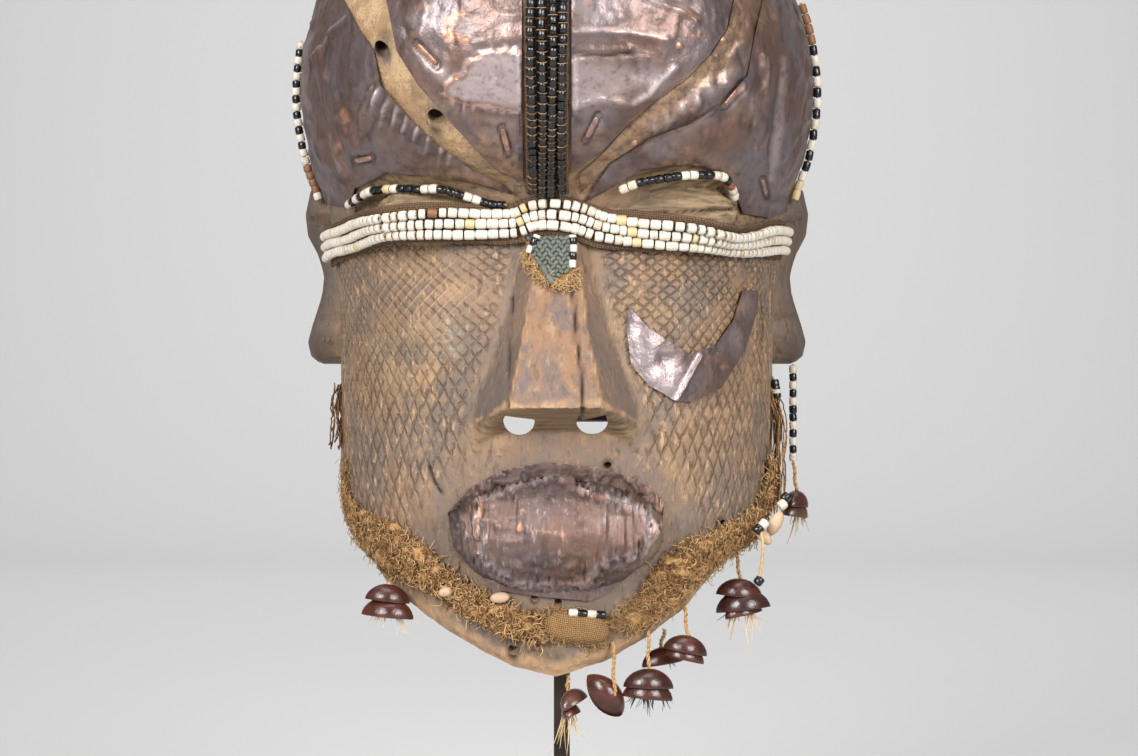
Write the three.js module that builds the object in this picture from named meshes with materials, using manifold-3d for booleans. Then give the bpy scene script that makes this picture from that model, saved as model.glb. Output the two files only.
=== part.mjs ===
// A Kuba bwoom helmet mask on its stand: a carved wooden helmet dressed with copper sheet,
// sewn bead bands, a raffia edge and seed-shell rattles, held up by a square post.
// Millimetres, +Z up, the face looks along -Y, the origin is the middle of the base's underside.
import * as THREE from 'three';
import Module from 'manifold-3d';
import { mergeVertices } from 'three/addons/utils/BufferGeometryUtils.js';

const wasm = await Module();
wasm.setup();

// Driving dimensions of the carved helmet
const MASK = {
  height: 400, // from the chin's lowest point to the crown
  halfWidth: 125, // at the widest level of the forehead
  frontReach: 152, // from the ear line forward to the forehead
  backReach: 138, // from the ear line back to the nape
  wall: 11,
};
const CHIN_CLEARANCE = 110; // from the table up to the chin
const GAP = 0.35; // between one piece and the piece it lies on

// Driving dimensions of the metalwork, beads, raffia and rattles
const SHEET = 0.9; // thickness of the copper
const CLOTH = 1.3; // thickness of the strips that the beads are sewn to
const EYE_BAND = { rows: 3, pitch: 5.0, radius: 2.45, margin: 1.0, stiffness: 14 };
const CROWN_BAND = { rows: 4, pitch: 4.8, radius: 2.2, margin: 0.3, middle: -4, clear: 1.35 };
const STRAND = 2.4; // radius of a single string of beads
const EAR_STRING = { radius: 2.1, length: 49, out: 0.944, depth: -2 }; // under the right ear
const RAFFIA = { halfWidth: 6.5, thickness: 6.5 };
const CLOTH_ROLL = { out: 0.084, level: 0.0588, halves: [14, 4.5, 8], sunk: 1 };
const SHELL = { length: 25, width: 15, height: 9.5, wall: 1.6 };
const TWINE = 0.9; // radius of a rattle's twine
const CORONAL = -20; // depth at which the copper stops, just ahead of the ears
const PENDANT = 3.6; // thickness of the beaded tongue on the nose

// Driving dimensions of the stand
const BASE = { width: 190, depth: 180, thickness: 12, chamfer: 1.5 };
const POST = { side: 8, x: 2.5, y: 8 };
const PAD = { radius: 22, thickness: 17 };
const PRONG = { radius: 3, rightLevel: 0.3025, leftLevel: 0.38 }; // levels as shares of the height

// Curves and small helpers

// A smooth curve through a few points [position, value], level beyond its last point.
function curveThrough(points) {
  const steps = points.slice(1).map((p, i) => (p[1] - points[i][1]) / (p[0] - points[i][0]));
  const slopes = points.map((_, i) => {
    if (i === 0) return steps[0];
    if (i === points.length - 1) return 0;
    const [before, after] = [steps[i - 1], steps[i]];
    return before * after <= 0 ? 0 : (2 * before * after) / (before + after);
  });
  return (at) => {
    const last = points.length - 1;
    if (at <= points[0][0]) return points[0][1];
    if (at >= points[last][0]) return points[last][1];
    const i = points.findIndex((p) => p[0] > at) - 1;
    const span = points[i + 1][0] - points[i][0];
    const t = (at - points[i][0]) / span;
    const blend = t * t * (3 - 2 * t);
    const lift = slopes[i] * t * (1 - t) * (1 - t) - slopes[i + 1] * t * t * (1 - t);
    return points[i][1] * (1 - blend) + points[i + 1][1] * blend + span * lift;
  };
}

// A quarter of a rounded arch: 1 at share 0, 0 at share 1, and steep there.
function arch(share, power) {
  return (1 - Math.min(1, Math.max(0, share)) ** power) ** (1 / power);
}

const up = (share) => share * MASK.height;
const out = (share) => share * MASK.halfWidth;

const deep = (share) => share * (share < 0 ? MASK.frontReach : MASK.backReach);

// A place on the mask's front, in hundredths of its half width and of its height.
const at = (x, h) => [out(x / 100), up(h / 100)];
const drawn = (points) => points.map(([x, h]) => at(x, h));

// An outline on the mask's side, in hundredths of its reach before or behind the ears and of its height.
const drawnSide = (points) => points.map(([y, h]) => [deep(y / 100), up(h / 100)]);

// The helmet's bare form, as shares of its height, width and reach

const FORM = {
  widest: 0.695, // level of the full half width and full back reach
  bulge: 0.745, // level where the forehead reaches furthest forward
  frontPower: 2.35, // squareness of the face in plan
  backPower: 2.1,
  widthDome: 2.1,
  frontDome: 2.2,
  width: curveThrough([[0, 0.68], [0.075, 0.77], [0.15, 0.835], [0.25, 0.86], [0.4, 0.862],
    [0.48, 0.88], [0.57, 0.912], [0.63, 0.972], [0.695, 1]]),
  front: curveThrough([[0, 0.69], [0.05, 0.725], [0.12, 0.745], [0.29, 0.745], [0.4, 0.725],
    [0.5, 0.69], [0.55, 0.69], [0.585, 0.77], [0.625, 0.87], [0.68, 0.955], [0.745, 1]]),
  back: curveThrough([[0, 0.74], [0.34, 0.84], [0.5, 0.93], [0.695, 1]]),
};
const CHEEK = { level: 0.42, out: 0.5, spreadUp: 0.075, spreadOut: 0.23, rise: 5 };

// A profile's size at a level: the drawn curve below, a rounded dome from there to the crown.
function reachAt(h, grown, full, below, from, power) {
  const share = h / (MASK.height + grown);
  const part = share < from ? below(share) : arch((share - from) / (1 - from), power);
  return (full + grown) * part;
}

const halfWidthAt = (h, grown) => (
  reachAt(h, grown, MASK.halfWidth, FORM.width, FORM.widest, FORM.widthDome));
const frontAt = (h, grown) => (
  reachAt(h, grown, MASK.frontReach, FORM.front, FORM.bulge, FORM.frontDome));
const backAt = (h, grown) => (
  reachAt(h, grown, MASK.backReach, FORM.back, FORM.widest, FORM.widthDome));

// The soft swelling of each cheek under the eye.
function cheekRise(x, h) {
  const across = (Math.abs(x) / MASK.halfWidth - CHEEK.out) / CHEEK.spreadOut;
  const along = (h / MASK.height - CHEEK.level) / CHEEK.spreadUp;
  return CHEEK.rise * Math.exp(-across * across - along * along);
}

// Depth of the bare helmet's front at a place in front view, without nose, eyes and mouth.
function helmetFront(x, h, grown = 0) {
  const side = arch(Math.abs(x) / halfWidthAt(h, grown), FORM.frontPower);
  return -(frontAt(h, grown) + cheekRise(x, h)) * side;
}

// Solids and meshes

function solidOf(geometry) {
  const bare = geometry.index ? geometry.toNonIndexed() : geometry;
  const places = new THREE.BufferGeometry().setAttribute('position', bare.getAttribute('position'));
  const merged = mergeVertices(places, 1e-4);
  return new wasm.Manifold(new wasm.Mesh({
    numProp: 3,
    vertProperties: merged.attributes.position.array,
    triVerts: new Uint32Array(merged.index.array),
  }));
}

// The geometry of a solid's largest body, without crumbs that a cut may leave.
function geometryOf(solid) {
  const whole = solid.decompose().reduce((a, b) => (b.volume() > a.volume() ? b : a)).getMesh();
  const places = new Float32Array(whole.numVert * 3);
  for (let i = 0; i < whole.numVert; i += 1) {
    places.set(whole.vertProperties.subarray(i * whole.numProp, i * whole.numProp + 3), i * 3);
  }
  return new THREE.BufferGeometry()
    .setAttribute('position', new THREE.BufferAttribute(places, 3))
    .setIndex(new THREE.BufferAttribute(new Uint32Array(whole.triVerts), 1));
}

// A closed skin over rings of equal length, each anticlockwise when the next ring is nearer the eye.
function skin(rings) {
  const count = rings[0].length;
  const [first, last] = [rings.length * count, rings.length * count + 1];
  const middles = [rings[0], rings[rings.length - 1]].map((ring) => ring
    .reduce((sum, p) => sum.add(p), new THREE.Vector3()).divideScalar(count));
  const faces = [];
  for (let j = 0; j < count; j += 1) {
    const next = (j + 1) % count;
    const top = first - count;
    faces.push(first, next, j, last, top + j, top + next);
    for (let i = 0; i + 1 < rings.length; i += 1) {
      const [a, b] = [i * count + j, i * count + next];
      faces.push(a, b, b + count, a, b + count, a + count);
    }
  }
  const places = [...rings.flat(), ...middles].flatMap((p) => [p.x, p.y, p.z]);
  return new THREE.BufferGeometry()
    .setAttribute('position', new THREE.Float32BufferAttribute(places, 3))
    .setIndex(faces);
}

// A prism with its outline in front view, [x, height], from one depth to another.
function frontPrism(outline, from, to) {
  const shape = new THREE.Shape(outline.map(([x, h]) => new THREE.Vector2(x, h)));
  return solidOf(new THREE.ExtrudeGeometry(shape, { depth: to - from, bevelEnabled: false })
    .rotateX(Math.PI / 2).translate(0, to, 0));
}

// A prism with its outline in side view, [depth, height], from one x to another.
function sidePrism(outline, from, to) {
  const turn = new THREE.Matrix4().makeBasis(
    new THREE.Vector3(0, 1, 0), new THREE.Vector3(0, 0, 1), new THREE.Vector3(1, 0, 0));
  const shape = new THREE.Shape(outline.map(([y, h]) => new THREE.Vector2(y, h)));
  return solidOf(new THREE.ExtrudeGeometry(shape, { depth: to - from, bevelEnabled: false })
    .applyMatrix4(turn).translate(from, 0, 0));
}

function ellipsoid(middle, halves, around, upward) {
  return solidOf(new THREE.SphereGeometry(1, around, upward).scale(...halves).translate(...middle));
}

// A bore along the depth, from one depth to another.
function bore(x, h, radius, from, to, sides) {
  return solidOf(new THREE.CylinderGeometry(radius, radius, to - from, sides)
    .translate(x, (from + to) / 2, h));
}

// The carved helmet: one block with its nose, eyes, mouth and ears

// The helmet as one closed skin, grown outwards all over, or inwards if negative.
function helmetForm(grown, frontColumns, backColumns, rows) {
  const columns = [];
  for (let i = -frontColumns; i <= frontColumns; i += 1) {
    const share = Math.sin((Math.PI / 2) * (Math.abs(i) / frontColumns) ** 1.15);
    columns.push({ front: true, share: Math.sign(i) * share });
  }
  for (let i = 1; i < 2 * backColumns; i += 1) {
    columns.push({ front: false, turn: (Math.PI * i) / (2 * backColumns) });
  }
  const placed = (column, h) => {
    const width = halfWidthAt(h, grown);
    if (column.front) {
      const across = column.share * width;
      return new THREE.Vector3(across, helmetFront(across, h, grown), h);
    }
    const [side, rear] = [Math.cos(column.turn), Math.sin(column.turn)];
    const x = width * Math.sign(side) * Math.abs(side) ** (2 / FORM.backPower);
    return new THREE.Vector3(x, backAt(h, grown) * rear ** (2 / FORM.backPower), h);
  };
  const crown = MASK.height + grown;
  const levels = [-up(0.03)];
  for (let i = 0; i < rows; i += 1) {
    levels.push(crown * Math.sin((Math.PI / 2) * (i / rows) ** 0.92));
  }
  const rings = levels.map((h) => columns.map((column) => placed(column, h)));
  rings.push(columns.map(() => new THREE.Vector3(0, 0, crown)));
  return solidOf(skin(rings));
}

const NOSE = {
  levels: [0.315, 0.4, 0.48, 0.545], // from the tip up to the root
  ridge: [0.172, 0.12, 0.088, 0.072].map(out), // half width of the flat ridge
  flank: [0.308, 0.208, 0.144, 0.112].map(out), // half width where the flanks meet the cheeks
  rise: [0.2, 0.125, 0.066, 0.02].map((share) => share * MASK.frontReach), // height of the ridge
  wingDrop: up(0.02), // how far the wings hang below the tip
  lipLevel: 0.288, // where the cut end meets the upper lip
  lipSpread: 1.6, // width of the cut end's foot over the ridge's width
  lipRise: -3, // the cut end's foot lies in the block
  lipInset: 1, // how far the cut end's foot is narrower than the flanks
  camber: 1.5, // how far the ridge's edges lie back from its middle
  root: 5, // how deep the foot is sunk in the block
};
const EYE = { level: 0.543, out: 0.416, halves: [out(0.272), 9, up(0.0388)], sunk: 3 };
const MOUTH = { level: 0.1675, halves: [out(0.4), 24, up(0.0625)], sunk: 5 };
const NOSTRIL = { out: 0.1376, level: 0.3, radius: 7.4, depth: 11 }; // depth behind the nose's tip

// The nose: a broad plank-like ridge with sloping flanks, cut off square below the tip.
function noseForm(grown) {
  const ring = (level, ridge, flank, rise, drop) => {
    const h = up(level);
    const tip = helmetFront(0, h) - rise - grown;
    const edge = tip + NOSE.camber;
    const foot = helmetFront(flank, h - drop) + NOSE.root;
    const wing = h - drop;
    return [[-flank - grown, foot, wing], [-ridge, edge, h], [0, tip, h], [ridge, edge, h],
      [flank + grown, foot, wing], [0, foot + NOSE.root, wing]].map((p) => new THREE.Vector3(...p));
  };
  const [tipRidge, tipFlank] = [NOSE.ridge[0], NOSE.flank[0]];
  const under = ring(NOSE.lipLevel, tipRidge * NOSE.lipSpread, tipFlank - NOSE.lipInset, NOSE.lipRise,
    NOSE.lipInset);
  const rings = NOSE.levels.map((level, i) => (
    ring(level, NOSE.ridge[i], NOSE.flank[i], NOSE.rise[i], i === 0 ? NOSE.wingDrop : 0)));
  return solidOf(skin([under, ...rings]));
}

function eyeForm(side, grown) {
  const [x, h] = [side * out(EYE.out), up(EYE.level)];
  return ellipsoid([x, helmetFront(x, h) + EYE.sunk, h], EYE.halves.map((half) => half + grown), 12, 6);
}

function mouthForm(grown) {
  const h = up(MOUTH.level);
  const middle = [0, helmetFront(0, h) + MOUTH.sunk, h];
  return ellipsoid(middle, MOUTH.halves.map((half) => half + grown), 14, 7);
}

const EAR = {
  // front view, one side: the upper curl and the lobe stand out, the middle lies closer
  outline: [[78, 36.8], [97, 36.8], [99.5, 37.8], [100.5, 39.6], [99, 41.6], [95.2, 45.6], [94.5, 48],
    [96.8, 50.5], [101, 53], [101.8, 55.6], [99.5, 58.4], [94.5, 60.3], [78, 60.5]],
  middle: [0.036, 0.4875], // depth and height of the curl's centre
  outer: [0.181, 0.12], // half depth and half height of the C's outside
  inner: [0.094, 0.0775],
  opening: 0.22, // share of the half turn left open at the front
  steps: 8, // sides of each of the C's two arcs
};

// An ear: a C in side view, open to the front, that follows the outline in front view.
function earForm(side, grown = 0) {
  const facing = drawn(EAR.outline).map(([x, h]) => [side * x, h]);
  if (side < 0) facing.reverse();
  const start = Math.PI * (1 - EAR.opening);
  const arc = ([depth, height], more, turn) => Array.from({ length: EAR.steps + 1 }, (_, i) => {
    const angle = turn * start * (1 - (2 * i) / EAR.steps);
    return [deep(EAR.middle[0]) + (deep(depth) + more) * Math.cos(angle),
      up(EAR.middle[1]) + (up(height) + more) * Math.sin(angle)];
  });
  const curl = [...arc(EAR.outer, grown, -1), ...arc(EAR.inner, -grown, 1)];
  const reach = out(1.2);
  return frontPrism(facing, -reach, reach).intersect(sidePrism(curl, -reach, reach));
}

// The outer form with all that stands on it, grown all over by a clearance.
function carvedForm(grown) {
  const parts = [noseForm(grown), eyeForm(-1, grown), eyeForm(1, grown), mouthForm(grown)];
  return parts.reduce((whole, part) => whole.add(part), helmetForm(grown, 8, 5, 20));
}

// The sawn rim in front view, with the chip in the left jaw, and in side view.
const RIM = {
  front: drawn([[-130, 30], [-86.8, 21.5], [-87, 17.6], [-80, 15.3], [-71.2, 14.9], [-69, 11],
    [-60, 9.3], [-48, 6.6], [-33, 3.6], [-16, 1.1], [0, 0], [17, 1.4], [36, 4.6], [48, 7.4], [61, 12],
    [74, 16.2], [85, 20.2], [130, 30]]),
  side: drawnSide([[-100, -5], [-69.7, -1.5], [-64.5, 3], [-56.6, 7.5], [-47.4, 11.5], [-30.3, 16.75],
    [-7.2, 23], [14.5, 28], [36.2, 31.75], [58, 33.5], [145, 34.25]]),
  below: up(-0.2), // level well under the chin
  beyond: out(1.3), // well past the widest level
};

// Pierced peg and stitch holes in the face: place in hundredths, and radius.
const PEG_HOLES = [[-67.2, 72.5, 2.9], [-44.8, 64.75, 2.8], [19.2, 24.5, 2.2], [29.6, 22.5, 2.0],
  [62.4, 17.5, 2.0], [0.8, 8.75, 2.0], [-8, 9.5, 1.6], [-16, 3.25, 2.4]];

function carvedHelmet() {
  const reach = MASK.frontReach + MASK.backReach;
  const chinCut = frontPrism([[RIM.beyond, RIM.below], ...[...RIM.front].reverse(),
    [-RIM.beyond, RIM.below]], -reach, reach);
  const [foremost, rearmost] = [RIM.side[0][0], RIM.side[RIM.side.length - 1][0]];
  const jawCut = sidePrism([[rearmost, RIM.below], ...[...RIM.side].reverse(),
    [foremost, RIM.below]], -reach, reach);
  let helmet = carvedForm(0).add(earForm(-1)).add(earForm(1));
  helmet = helmet.subtract(helmetForm(-MASK.wall, 6, 4, 13)).subtract(chinCut).subtract(jawCut);
  for (const side of [-1, 1]) {
    const level = up(NOSTRIL.level);
    const start = helmetFront(0, level) - NOSE.rise[0] + NOSTRIL.depth;
    helmet = helmet.subtract(bore(side * out(NOSTRIL.out), level, NOSTRIL.radius, start, 0, 12));
  }
  for (const [x, h, radius] of PEG_HOLES) {
    helmet = helmet.subtract(bore(...at(x, h), radius, -reach, 0, 7));
  }
  return helmet;
}

// Copper sheet, cut from the form's own skin so that it fits what it lies on

const lining = carvedForm(GAP).add(earForm(-1, GAP)).add(earForm(1, GAP));
const overSheet = carvedForm(2 * GAP + SHEET);

function copper(outline) {
  const shell = carvedForm(GAP + SHEET).subtract(lining);
  return shell.intersect(frontPrism(outline, -2 * MASK.frontReach, CORONAL));
}

const bandEdge = CROWN_BAND.rows * CROWN_BAND.pitch * 0.5 + CROWN_BAND.margin + CROWN_BAND.clear;
const leftOfBand = ((CROWN_BAND.middle - bandEdge) / MASK.halfWidth) * 100;
const rightOfBand = ((CROWN_BAND.middle + bandEdge) / MASK.halfWidth) * 100;
const SHEETS = {
  copper_forehead_left: [[leftOfBand, 57.8], [leftOfBand, 103], [-63, 103], [-64, 85], [-62.4, 78.5],
    [-58.4, 72.5], [-50.4, 68.5], [-39.2, 64.5], [-28, 60.8], [-20.8, 58.8]],
  copper_forehead_right: [[rightOfBand, 58.6], [17.6, 61.2], [27, 64.4], [37.6, 67.1], [47.5, 69.4],
    [57, 72.4], [63, 75.4], [65.6, 79], [65, 86], [65, 103], [rightOfBand, 103]],
  copper_temple_left: [[-108, 56.5], [-92, 56.5], [-79.2, 55.5], [-77, 57.6], [-64, 59], [-44, 58.5],
    [-28, 57.4], [-14, 56.2], [-20.8, 57.8], [-32, 59.3], [-43.2, 61.8], [-53.6, 64.8], [-64.8, 68.8],
    [-67.2, 72.8], [-73.6, 75.8], [-80, 79.5], [-83, 82.5], [-90, 86.5], [-108, 88]],
  copper_temple_right: [[10, 55.4], [20, 57], [31, 59], [50, 59.8], [62.4, 59.2], [68, 57.2], [71.2, 54.6],
    [82, 54.3], [92, 55.6], [108, 55.8], [108, 88], [90, 86.5], [77.5, 79.4], [73.6, 74.4], [71, 70],
    [61, 66.5], [49.6, 64.2], [34.4, 62.4], [20, 59.6]],
  copper_hairline_right: [[9.5, 57], [19.5, 60.2], [34, 63], [49, 64.8], [60.4, 67.1], [70.2, 70.4],
    [72.6, 74.6], [76.6, 79.6], [79, 84], [79, 103], [66, 103], [66, 86], [66.6, 79], [64, 75], [58, 71.9],
    [48.4, 68.8], [38.4, 66.5], [27.6, 63.8], [18.2, 60.6], [8.5, 58.2]],
  copper_cheek_crescent: [[27.2, 43.4], [26.4, 40.4], [28, 36.6], [34.4, 34.2], [44.8, 32.3],
    [51.2, 32.2], [62.4, 33.8], [72, 38.2], [77.6, 43.2], [77.6, 45.5], [71.2, 45.5], [67.2, 41.8],
    [60, 38.8], [50.4, 37.8], [40.8, 39.5], [33.6, 41.2]],
  copper_lip_sheet: [[-40.5, 19.2], [-38, 15.4], [-30.4, 12.6], [-20.8, 10.3], [-5.6, 9.6],
    [12.8, 9.1], [20.8, 10.2], [31.2, 13.2], [39.2, 17.2], [40.5, 20.6], [31.2, 23], [17, 24.6],
    [-4, 25.2], [-20.8, 24.2], [-32.8, 22]],
};

// Paths laid on the mask, and what follows them

// Depth of the front with nose, eyes and mouth.
function faceFront(x, h) {
  const bare = helmetFront(x, h);
  const dome = (middle, level, halves, sunk) => {
    const rest = 1 - ((x - middle) / halves[0]) ** 2 - ((h - level) / halves[2]) ** 2;
    return rest <= 0 ? bare : helmetFront(middle, level) + sunk - halves[1] * Math.sqrt(rest);
  };
  const share = h / MASK.height;
  const along = (list) => curveThrough(NOSE.levels.map((level, i) => [level, list[i]]))(share);
  const onNose = share > NOSE.levels[0] && share < NOSE.levels[3] && Math.abs(x) < along(NOSE.flank);
  const down = Math.max(0, Math.abs(x) - along(NOSE.ridge)) / (along(NOSE.flank) - along(NOSE.ridge));
  const nose = onNose ? bare - along(NOSE.rise) * (1 - down) : bare;
  const eye = dome(Math.sign(x) * out(EYE.out), up(EYE.level), EYE.halves, EYE.sunk);
  return Math.min(bare, nose, eye, dome(0, up(MOUTH.level), MOUTH.halves, MOUTH.sunk));
}

// Evenly spaced stations along a dense line of places and outward directions.
function evenly(dense, count) {
  const lengths = [0];
  for (let i = 1; i < dense.length; i += 1) {
    lengths.push(lengths[i - 1] + dense[i].place.distanceTo(dense[i - 1].place));
  }
  return Array.from({ length: count }, (_, i) => {
    const wanted = (lengths[lengths.length - 1] * i) / (count - 1);
    return dense[Math.max(0, lengths.findIndex((length) => length >= wanted - 1e-6))];
  });
}

// How far out the helmet's side is at a depth ahead of the ear line.
const sideAt = (h, depth) => halfWidthAt(h, 0) * arch(-depth / frontAt(h, 0), FORM.frontPower);

// Stations on the face along a curve through points [x, height]. A stiff strip bridges hollows.
function faceStations(points, count, stiffness = 0) {
  const curve = new THREE.CatmullRomCurve3(points.map(([x, h]) => new THREE.Vector3(x, 0, h)));
  const proud = (x, h) => helmetFront(x, h) - faceFront(x, h);
  const reaches = stiffness > 0 ? [-1, -0.5, 0, 0.5, 1].map((share) => share * stiffness) : [0];
  const highest = (x, h) => Math.max(...reaches.map((reach) => proud(x + reach / 2, h)));
  const bridged = (x, h) => (
    reaches.reduce((sum, reach) => sum + highest(x + reach, h), 0) / reaches.length);
  const strip = (x, h) => helmetFront(x, h) - Math.max(proud(x, h), bridged(x, h));
  const step = 1.5;
  const dense = curve.getPoints(600).filter(({ x, z: h }) => Math.abs(x) < sideAt(h, CORONAL - GAP));
  return evenly(dense.map(({ x, z: h }) => {
    const across = (strip(x + step, h) - strip(x - step, h)) / (2 * step);
    const along = (strip(x, h + step) - strip(x, h - step)) / (2 * step);
    return {
      place: new THREE.Vector3(x, strip(x, h), h),
      outward: new THREE.Vector3(across, -1, along).normalize(),
    };
  }), count);
}

// Stations up the middle of the forehead, over the crown and down the back.
function crownStations(x, from, backTo, count) {
  const dense = [];
  const share = (h) => Math.asin(Math.min(1, h / MASK.height));
  const steps = 500;
  for (let i = 0; i <= steps; i += 1) {
    const turn = share(from) + ((Math.PI - share(backTo) - share(from)) * i) / steps;
    const h = MASK.height * Math.sin(turn);
    const front = turn < Math.PI / 2;
    const side = arch(Math.abs(x) / Math.max(halfWidthAt(h, 0), Math.abs(x) + 0.1), 2);
    dense.push({ place: new THREE.Vector3(x, front ? helmetFront(x, h) : backAt(h, 0) * side, h) });
  }
  return evenly(dense, count).map((station, i, all) => {
    const [before, after] = [all[Math.max(0, i - 1)].place, all[Math.min(count - 1, i + 1)].place];
    const along = after.clone().sub(before).normalize();
    return { place: station.place, outward: new THREE.Vector3(0, -along.z, along.y) };
  });
}

// Stations down the side of the forehead, just behind the copper.
function sideStations(side, from, to, depth, count) {
  const dense = [];
  for (let i = 0; i <= 300; i += 1) {
    const h = from + ((to - from) * i) / 300;
    const place = new THREE.Vector3(side * sideAt(h, depth), depth, h);
    dense.push({ place, outward: new THREE.Vector3(side, 0, 0) });
  }
  return evenly(dense, count);
}

// A solid that follows stations with one section: points [across, outward], anticlockwise.
function sweep(stations, section, widen = () => 1) {
  const rings = stations.map((station, i) => {
    const [before, after] = [stations[Math.max(0, i - 1)], stations[Math.min(stations.length - 1, i + 1)]];
    const along = after.place.clone().sub(before.place).normalize();
    const across = station.outward.clone().cross(along).normalize();
    const outward = along.clone().cross(across);
    const share = i / (stations.length - 1);
    return section.map(([a, n]) => station.place.clone()
      .addScaledVector(across, a * widen(share)).addScaledVector(outward, n));
  });
  return solidOf(skin(rings));
}

// The section of a flat strip lying at a height above the form.
const stripSection = (halfWidth, low, thickness) => [[-halfWidth, low], [halfWidth, low],
  [halfWidth, low + thickness], [-halfWidth, low + thickness]];

// The section of rows of beads side by side, fused into one ribbed strip.
function rowsSection(rows, pitch, radius, low) {
  const half = ((rows - 1) * pitch) / 2;
  const points = [[-half - radius * 0.7, low], [half + radius * 0.7, low]];
  for (let row = rows - 1; row >= 0; row -= 1) {
    const middle = row * pitch - half;
    points.push([middle + radius, low + radius], [middle, low + 2 * radius]);
    if (row === 0) points.push([middle - radius, low + radius]);
  }
  return points;
}

const hexagon = (radius, middle) => [0, 1, 2, 3, 4, 5].map((i) => (
  [radius * Math.sin((-i * Math.PI) / 3), middle - radius * Math.cos((i * Math.PI) / 3)])).reverse();

// The edges of a woven roll or frayed cord lying on the wood.
const moundSection = (halfWidth, thickness) => [[-halfWidth, GAP], [halfWidth, GAP],
  [halfWidth * 0.72, GAP + thickness * 0.75], [0, GAP + thickness],
  [-halfWidth * 0.72, GAP + thickness * 0.75]];

const PATHS = {
  eyeBand: drawn([[-108, 51.2], [-81.6, 52.2], [-67, 53], [-47, 53.2], [-29, 53], [-15.2, 53], [-9.6, 53.7],
    [-2.4, 54], [7.2, 53.5], [17, 52.5], [31, 52.2], [50.4, 52], [66.4, 51.5], [80.8, 51.8], [108, 52.3]]),
  browLeft: drawn([[-78.4, 56.2], [-74.4, 57.3], [-66.4, 58.2], [-54.4, 58.4], [-43, 58],
    [-30.4, 57.4], [-19, 56.8]]),
  browRight: drawn([[23, 57.5], [31, 58.5], [42.4, 59], [53.6, 59.5], [61.6, 59.3], [65.5, 57.5]]),
  raffiaLeft: drawn([[-82, 24.8], [-80.8, 20.4], [-74.4, 17.2], [-60.8, 14.6], [-47, 12.2], [-33.6, 9.4],
    [-17, 6.6], [-3.6, 5.6]]),
  raffiaRight: drawn([[22.5, 5.8], [33.6, 8.2], [46.4, 12.4], [60, 15], [74.4, 17.2], [81, 20.5],
    [83, 24.8]]),
};

// A strip of cloth and the rows of beads sewn on it.
function beadBand(stations, band) {
  const half = (band.rows * band.pitch) / 2 + band.margin;
  const cloth = sweep(stations, stripSection(half, 2 * GAP, CLOTH)).subtract(lining);
  const under = sweep(stations, stripSection(half, -CLOTH, 2 * CLOTH + 3 * GAP));
  const rows = sweep(stations, rowsSection(band.rows, band.pitch, band.radius, CLOTH + 2 * GAP));
  return [cloth, rows.subtract(under).subtract(lining)];
}

function strand(stations, low) {
  return sweep(stations, hexagon(STRAND, low + STRAND)).subtract(overSheet);
}

// The beaded tongue that hangs from the eye band on to the nose.
function nosePendant() {
  const outline = drawn([[-11.6, 51.2], [-11.2, 48.6], [-7.6, 46], [-2, 45], [4, 46], [7.4, 48.8],
    [7, 51.2]]);
  const tongue = frontPrism(outline, -2 * MASK.frontReach, 0);
  return carvedForm(GAP + PENDANT).subtract(lining).intersect(tongue);
}

// Frayed raffia, thicker in clumps along its run.
function raffiaEdge(path, clump) {
  const swell = (share) => 1 + 0.55 * Math.exp(-(((share - clump) / 0.16) ** 2));
  const mound = moundSection(RAFFIA.halfWidth, RAFFIA.thickness);
  return sweep(faceStations(path, 16), mound, swell).subtract(lining);
}

// The string of beads that hangs from the lobe of the right ear.
const earStringTop = up(EAR.outline[0][1] / 100) - GAP;

function earString() {
  const { radius, length } = EAR_STRING;
  return new THREE.CylinderGeometry(radius, radius, length, 6)
    .rotateX(Math.PI / 2).translate(out(EAR_STRING.out), EAR_STRING.depth, earStringTop - length / 2);
}

function chinRoll() {
  const [x, h] = [out(CLOTH_ROLL.out), up(CLOTH_ROLL.level)];
  const middle = [x, helmetFront(x, h) - CLOTH_ROLL.sunk, h];
  return ellipsoid(middle, CLOTH_ROLL.halves, 12, 8).subtract(lining);
}

// Seed-shell rattles

// Half a seed shell, hollow, with its open side down.
function seedShell() {
  const [length, depth, height] = [SHELL.length / 2, SHELL.width / 2, SHELL.height];
  const shoulder = new THREE.Vector2(length, height).multiplyScalar(Math.SQRT1_2);
  const profile = [new THREE.Vector2(0, height - SHELL.wall), new THREE.Vector2(length - SHELL.wall, 0),
    new THREE.Vector2(length, 0), shoulder, new THREE.Vector2(0, height)];
  return new THREE.LatheGeometry(profile, 7).rotateX(Math.PI / 2).scale(1, depth / length, 1);
}

// A rattle: shells stacked at the end of a twine, which runs [across, forward, down] from the mask.
function rattle({ from, twine: [across, forward, down], shells }) {
  const run = new THREE.Vector3(across, -forward, -down);
  const end = new THREE.Vector3(...from).add(run);
  const line = new THREE.CylinderGeometry(TWINE, TWINE, run.length(), 5).translate(0, run.length() / 2, 0);
  const turn = new THREE.Quaternion().setFromUnitVectors(new THREE.Vector3(0, 1, 0), run.normalize());
  line.applyQuaternion(turn).translate(...from);
  const depth = shells[shells.length - 1].drop + SHELL.wall;
  const core = new THREE.CylinderGeometry(TWINE, TWINE, depth, 5)
    .rotateX(Math.PI / 2).translate(end.x, end.y, end.z - depth / 2 + TWINE);
  return shells.reduce((whole, { lean, spin, drop, size }) => {
    const shell = seedShell().translate(0, 0, -SHELL.height).scale(size, size, size)
      .rotateZ(spin).rotateY(lean).translate(end.x, end.y, end.z - drop + TWINE / 2);
    return whole.add(solidOf(shell));
  }, solidOf(line).add(solidOf(core)));
}

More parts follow.
